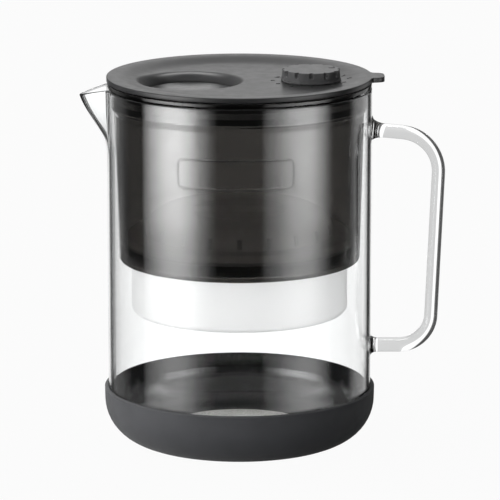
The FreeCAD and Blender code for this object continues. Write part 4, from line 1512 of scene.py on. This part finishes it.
def soft_panel(name, stage, strength, foot, stops):
    """A curved panel that only mirrored light shows, with its foot's level and (degrees, share) stops."""
    low, high = -0.35, 0.55
    levels = (
        (-0.30, foot * 0.4), (-0.105, foot), (-0.09, 0.33), (-0.024, 0.70), (-0.012, 0.95),
        (0.04, 1.0), (0.18, 0.9), (0.26, 0.0),
    )
    first, last = stops[0][0], stops[-1][0]
    shape = bmesh.new()
    columns = []
    steps = 36
    for step in range(steps + 1):
        angle = math.radians(first + (last - first) * step / steps)
        x, y = stage.panel_distance * math.sin(angle), -stage.panel_distance * math.cos(angle)
        columns.append([shape.verts.new((x, y, height)) for height in (low, high)])
    for near, far in zip(columns, columns[1:]):
        shape.faces.new((near[0], far[0], far[1], near[1]))
    panel = new_object(name, shape)
    finish = Finish(name)
    light = LightNodes(finish.tree, "Object")
    upward = finish.add("ShaderNodeMapRange", from_min=low, from_max=high)
    finish.join(light.height, upward.inputs["Value"])
    fade = finish.add("ShaderNodeValToRGB")
    set_stops(fade, [((level - low) / (high - low), value) for level, value in levels])
    finish.join(upward.outputs["Result"], fade.inputs["Fac"])
    glow = finish.add("ShaderNodeEmission", strength=strength)
    across = light.ring("across", *stops)
    finish.join(light.work_out("MULTIPLY", across, fade.outputs["Color"]), glow.inputs["Color"])
    mix = finish.add("ShaderNodeMixShader")
    finish.join(light.more("Glossy Depth", 0.5), mix.inputs["Fac"])
    finish.join(finish.add("ShaderNodeBsdfTransparent").outputs["BSDF"], mix.inputs[1])
    finish.join(glow.outputs["Emission"], mix.inputs[2])
    finish.join(mix.outputs["Shader"], finish.output.inputs["Surface"])
    finish.material.cycles.emission_sampling = "NONE"
    dress(panel, finish.material)
    panel.visible_camera = False
    panel.visible_diffuse = False
    panel.visible_shadow = False


def mirrored_light(sky, panel):
    """What polished faces mirror: a wall with dark flags, a ceiling and a soft panel overhead."""
    on_tank = sky.ring(
        "mirrored in the tank", (-180, 1), (-159, 1), (-155, 0.03), (167, 0.03), (170, 1), (180, 1))
    on_glass = sky.ring(
        "mirrored in the glass", (-180, 0.95), (-163, 0.9), (-158, 0.05), (-150, 0.05), (-141, 0.25),
        (-125, 0.25), (-112, 0.03), (112, 0.03), (122, 0.7), (146, 0.7), (152, 0.03), (163, 0.03),
        (169, 0.8), (180, 0.8))
    ceiling = sky.ring(
        "ceiling", (-180, 0.9), (-176, 0.85), (-172, 0.3), (-130, 0.25), (-60, 0.6), (0, 0.1), (60, 0.3),
        (130, 0.2), (172, 0.3), (176, 0.85), (180, 0.9))
    back_glow = sky.ring(
        "glow behind", (-180, 1.2), (-172, 1.1), (-165, 0.4), (-60, 0.5), (0, 0.1), (60, 0.3), (165, 0.4),
        (172, 1.1), (180, 1.2))
    low_wall = sky.ring(
        "low wall", (-180, 0.6), (-172, 0.25), (-125, 0.25), (-112, 0.03), (112, 0.03), (122, 0.3),
        (154, 0.3), (161, 0.02), (172, 0.02), (180, 0.6))
    high_wall = sky.ring(
        "high wall", (-180, 0.3), (-130, 0.5), (-60, 0.6), (0, 0.1), (60, 0.25), (130, 0.25), (180, 0.3))
    over_base = sky.ring(
        "mirrored in the base", (-180, 0.2), (-115, 0.4), (-80, 3.2), (-38, 2.6), (-15, 0.2), (15, 0.2),
        (38, 2.0), (85, 3.0), (115, 0.4), (180, 0.2))
    overhead = sky.ring(
        "overhead", (-180, panel), (-145, panel), (-115, 1), (115, 1), (145, panel), (180, panel))
    through = sky.more("Transmission Depth", 0.5)
    within = sky.more("Transmission Depth", 3.5)
    low_sky = sky.mix(sky.above(0.34, 0.5), ceiling, high_wall)
    glow_band = sky.without(sky.above(0.29, 0.38), sky.above(0.46, 0.56))
    low_sky = sky.mix(sky.without(glow_band, through), low_sky, back_glow)
    panel_band = sky.without(sky.above(0.75, 0.85), sky.above(0.93, 0.98))
    high_sky = sky.mix(sky.without(panel_band, through), low_sky, overhead)
    through_sky = sky.mix(sky.above(0.25, 0.45), ceiling, over_base)
    level = sky.mix(within, on_glass, on_tank)
    level = sky.mix(sky.without(sky.above(-0.06, -0.01), through), level, low_wall)
    light = sky.mix(sky.above(0.03, 0.12), level, sky.mix(through, high_sky, through_sky))
    return sky.mix(sky.above(-0.5, -0.3), sky.grey(0.0247), light)


def light_through(sky):
    """What shows through the glass: a pale backdrop with narrow dark flags."""
    behind_handle = sky.ring(
        "flags behind the handle", (-180, 1.2), (-170, 1.2), (-166, 0.09), (-128, 0.09), (-118, 1.2),
        (104, 1.2), (112, 0.7), (177, 0.7), (180, 0.8))
    behind_wall = sky.ring(
        "flags behind the wall", (-180, 1.25), (-170, 1.25), (-166, 0.1), (-154, 0.1), (-150, 1.25),
        (150, 1.25), (154, 0.1), (166, 0.1), (170, 1.25), (180, 1.25))
    return sky.mix(sky.more("Transmission Depth", 3.5), behind_handle, behind_wall)


def scattered_light(sky):
    """What lights the matt faces: outside, behind the glass and inside the tank."""
    outside_low = sky.ring(
        "light on the outside", (-180, 0.9), (-110, 17), (-50, 17), (0, 1.8), (60, 0.7), (180, 0.9))
    outside_high = sky.ring(
        "light from above", (-180, 0.8), (-110, 3.2), (-50, 2.6), (0, 0.7), (60, 0.5), (180, 0.8))
    outside = sky.mix(sky.above(0.2, 0.8), outside_low, outside_high)
    outside = sky.mix(sky.above(-0.35, 0.1), sky.grey(0.0), outside)
    from_below = sky.ring(
        "from the table", (-180, 2.4), (-100, 4.5), (-30, 4.1), (60, 3.0), (120, 2.3), (180, 2.4))
    from_below = sky.mix(sky.above(-0.6, -0.4), sky.grey(0.2), from_below)
    from_above = sky.ring(
        "over the boot", (-180, 0.6), (-100, 1.1), (-30, 0.9), (60, 0.7), (120, 0.6), (180, 0.6))
    behind_glass = sky.mix(sky.above(-0.1, 0.25), from_below, from_above)
    in_tank = sky.ring(
        "light in the tank", (-180, 14), (-110, 14), (-75, 6), (75, 6), (110, 14), (180, 14))
    in_tank = sky.mix(sky.more("Transmission Depth", 9.5), in_tank, sky.grey(40.0))
    in_tank = sky.mix(sky.above(-0.25, 0.0), sky.grey(0.2), in_tank)
    in_tank = sky.mix(sky.above(0.65, 0.8), in_tank, sky.grey(0.6))
    inside = sky.mix(sky.more("Transmission Depth", 5.5), behind_glass, in_tank)
    return sky.mix(sky.more("Transmission Depth", 0.5), outside, inside)


def studio_light(stage):
    """A pale backdrop all round, with dark flags and soft panels for what is mirrored or lit by it."""
    world = bpy.data.worlds.new("studio")
    bpy.context.scene.world = world
    world.use_nodes = True
    world.cycles.sampling_method = "NONE"
    background = world.node_tree.nodes["Background"]
    sky = LightNodes(world.node_tree, "Generated", stage.floor_tone / SKY_STRENGTH)
    mirrored = mirrored_light(sky, stage.overhead / stage.floor_tone)
    light = sky.mix(sky.more("Glossy Depth", 0.5), light_through(sky), mirrored)
    light = sky.mix(sky.more("Diffuse Depth", 0.5), light, scattered_light(sky))
    light = sky.mix(sky.path["Is Camera Ray"], light, sky.grey(1.0))
    sky.feed(light, background.inputs["Color"])
    background.inputs["Strength"].default_value = SKY_STRENGTH


def pale_floor(stage):
    """A wide pale floor that glows a little, so that hardly any shadow falls on it."""
    shape = bmesh.new()
    bmesh.ops.create_grid(shape, x_segments=1, y_segments=1, size=40.0)
    floor = new_object("pale_floor", shape)
    finish = Finish("floor_paper")
    tone = stage.floor_tone
    finish.set(Base_Color=(0.004, 0.004, 0.004, 1.0), Roughness=0.9, Specular_IOR_Level=0.0)
    finish.set(Emission_Color=(tone, tone, tone, 1.0), Emission_Strength=0.983)
    dress(floor, finish.material)
    floor.visible_diffuse = False
    floor.visible_glossy = False
    floor.visible_transmission = False


class PITCHER_OT_stage(Operator):
    """Set up the camera, the pale floor and the studio light"""

    bl_idname = "pitcher.stage"
    bl_label = "Stage"

    def execute(self, context):
        stage = context.scene.pitcher_stage
        lens = bpy.data.cameras.new("camera")
        lens.lens = stage.lens
        lens.sensor_width = 36.0
        lens.clip_end = 100.0
        camera = bpy.data.objects.new("camera", lens)
        camera.location = stage.camera_place
        sight = Vector(stage.camera_target) - Vector(stage.camera_place)
        camera.rotation_euler = sight.to_track_quat("-Z", "Y").to_euler()
        context.scene.collection.objects.link(camera)
        context.scene.camera = camera
        pale_floor(stage)
        soft_panel("left_panel", stage, stage.left_panel, foot=0.42, stops=(
            (-90, 0.0), (-87, 0.2), (-74, 0.6), (-63, 0.95), (-52, 1.0), (-43, 0.72), (-34, 0.28),
            (-24, 0.06), (-18, 0.0),
        ))
        soft_panel("right_panel", stage, stage.right_panel, foot=0.72, stops=(
            (18, 0.0), (23, 0.17), (33, 0.4), (43, 0.75), (53, 1.0), (63, 0.97), (74, 0.5), (84, 0.05),
            (88, 0.0),
        ))
        studio_light(stage)
        context.scene.view_settings.view_transform = "Standard"
        cycles = context.scene.cycles
        cycles.max_bounces = stage.bounces
        cycles.transmission_bounces = stage.bounces
        cycles.transparent_max_bounces = stage.bounces
        cycles.glossy_bounces = 10
        return {"FINISHED"}


# Panel


SETTINGS = {
    "pitcher_glass": PitcherGlass,
    "pitcher_hopper": PitcherHopper,
    "pitcher_lid": PitcherLid,
    "pitcher_fittings": PitcherFittings,
    "pitcher_stage": PitcherStage,
}
STEPS = (
    PITCHER_OT_glass,
    PITCHER_OT_boot,
    PITCHER_OT_hopper,
    PITCHER_OT_cartridge,
    PITCHER_OT_filter_bed,
    PITCHER_OT_lid,
    PITCHER_OT_month_scale,
    PITCHER_OT_flap,
    PITCHER_OT_dial,
    PITCHER_OT_stage,
)


class PITCHER_PT_sidebar(Panel):
    """Lists the steps that dress the pitcher"""

    bl_idname = "PITCHER_PT_sidebar"
    bl_label = "Water Filter Pitcher"
    bl_space_type = "VIEW_3D"
    bl_region_type = "UI"
    bl_category = "Pitcher"

    def draw(self, context):
        for step in STEPS:
            self.layout.operator(step.bl_idname)


def register():
    for group in SETTINGS.values():
        bpy.utils.register_class(group)
    for name, group in SETTINGS.items():
        setattr(bpy.types.Scene, name, PointerProperty(type=group))
    for step in STEPS:
        bpy.utils.register_class(step)
    bpy.utils.register_class(PITCHER_PT_sidebar)


def unregister():
    bpy.utils.unregister_class(PITCHER_PT_sidebar)
    for step in reversed(STEPS):
        bpy.utils.unregister_class(step)
    for name in SETTINGS:
        delattr(bpy.types.Scene, name)
    for group in reversed(SETTINGS.values()):
        bpy.utils.unregister_class(group)


def main():
    register()
    bpy.ops.pitcher.glass()
    bpy.ops.pitcher.boot()
    bpy.ops.pitcher.hopper()
    bpy.ops.pitcher.cartridge()
    bpy.ops.pitcher.filter_bed()
    bpy.ops.pitcher.lid()
    bpy.ops.pitcher.month_scale()
    bpy.ops.pitcher.flap()
    bpy.ops.pitcher.dial()
    bpy.ops.pitcher.stage()


if __name__ == "__main__":
    main()
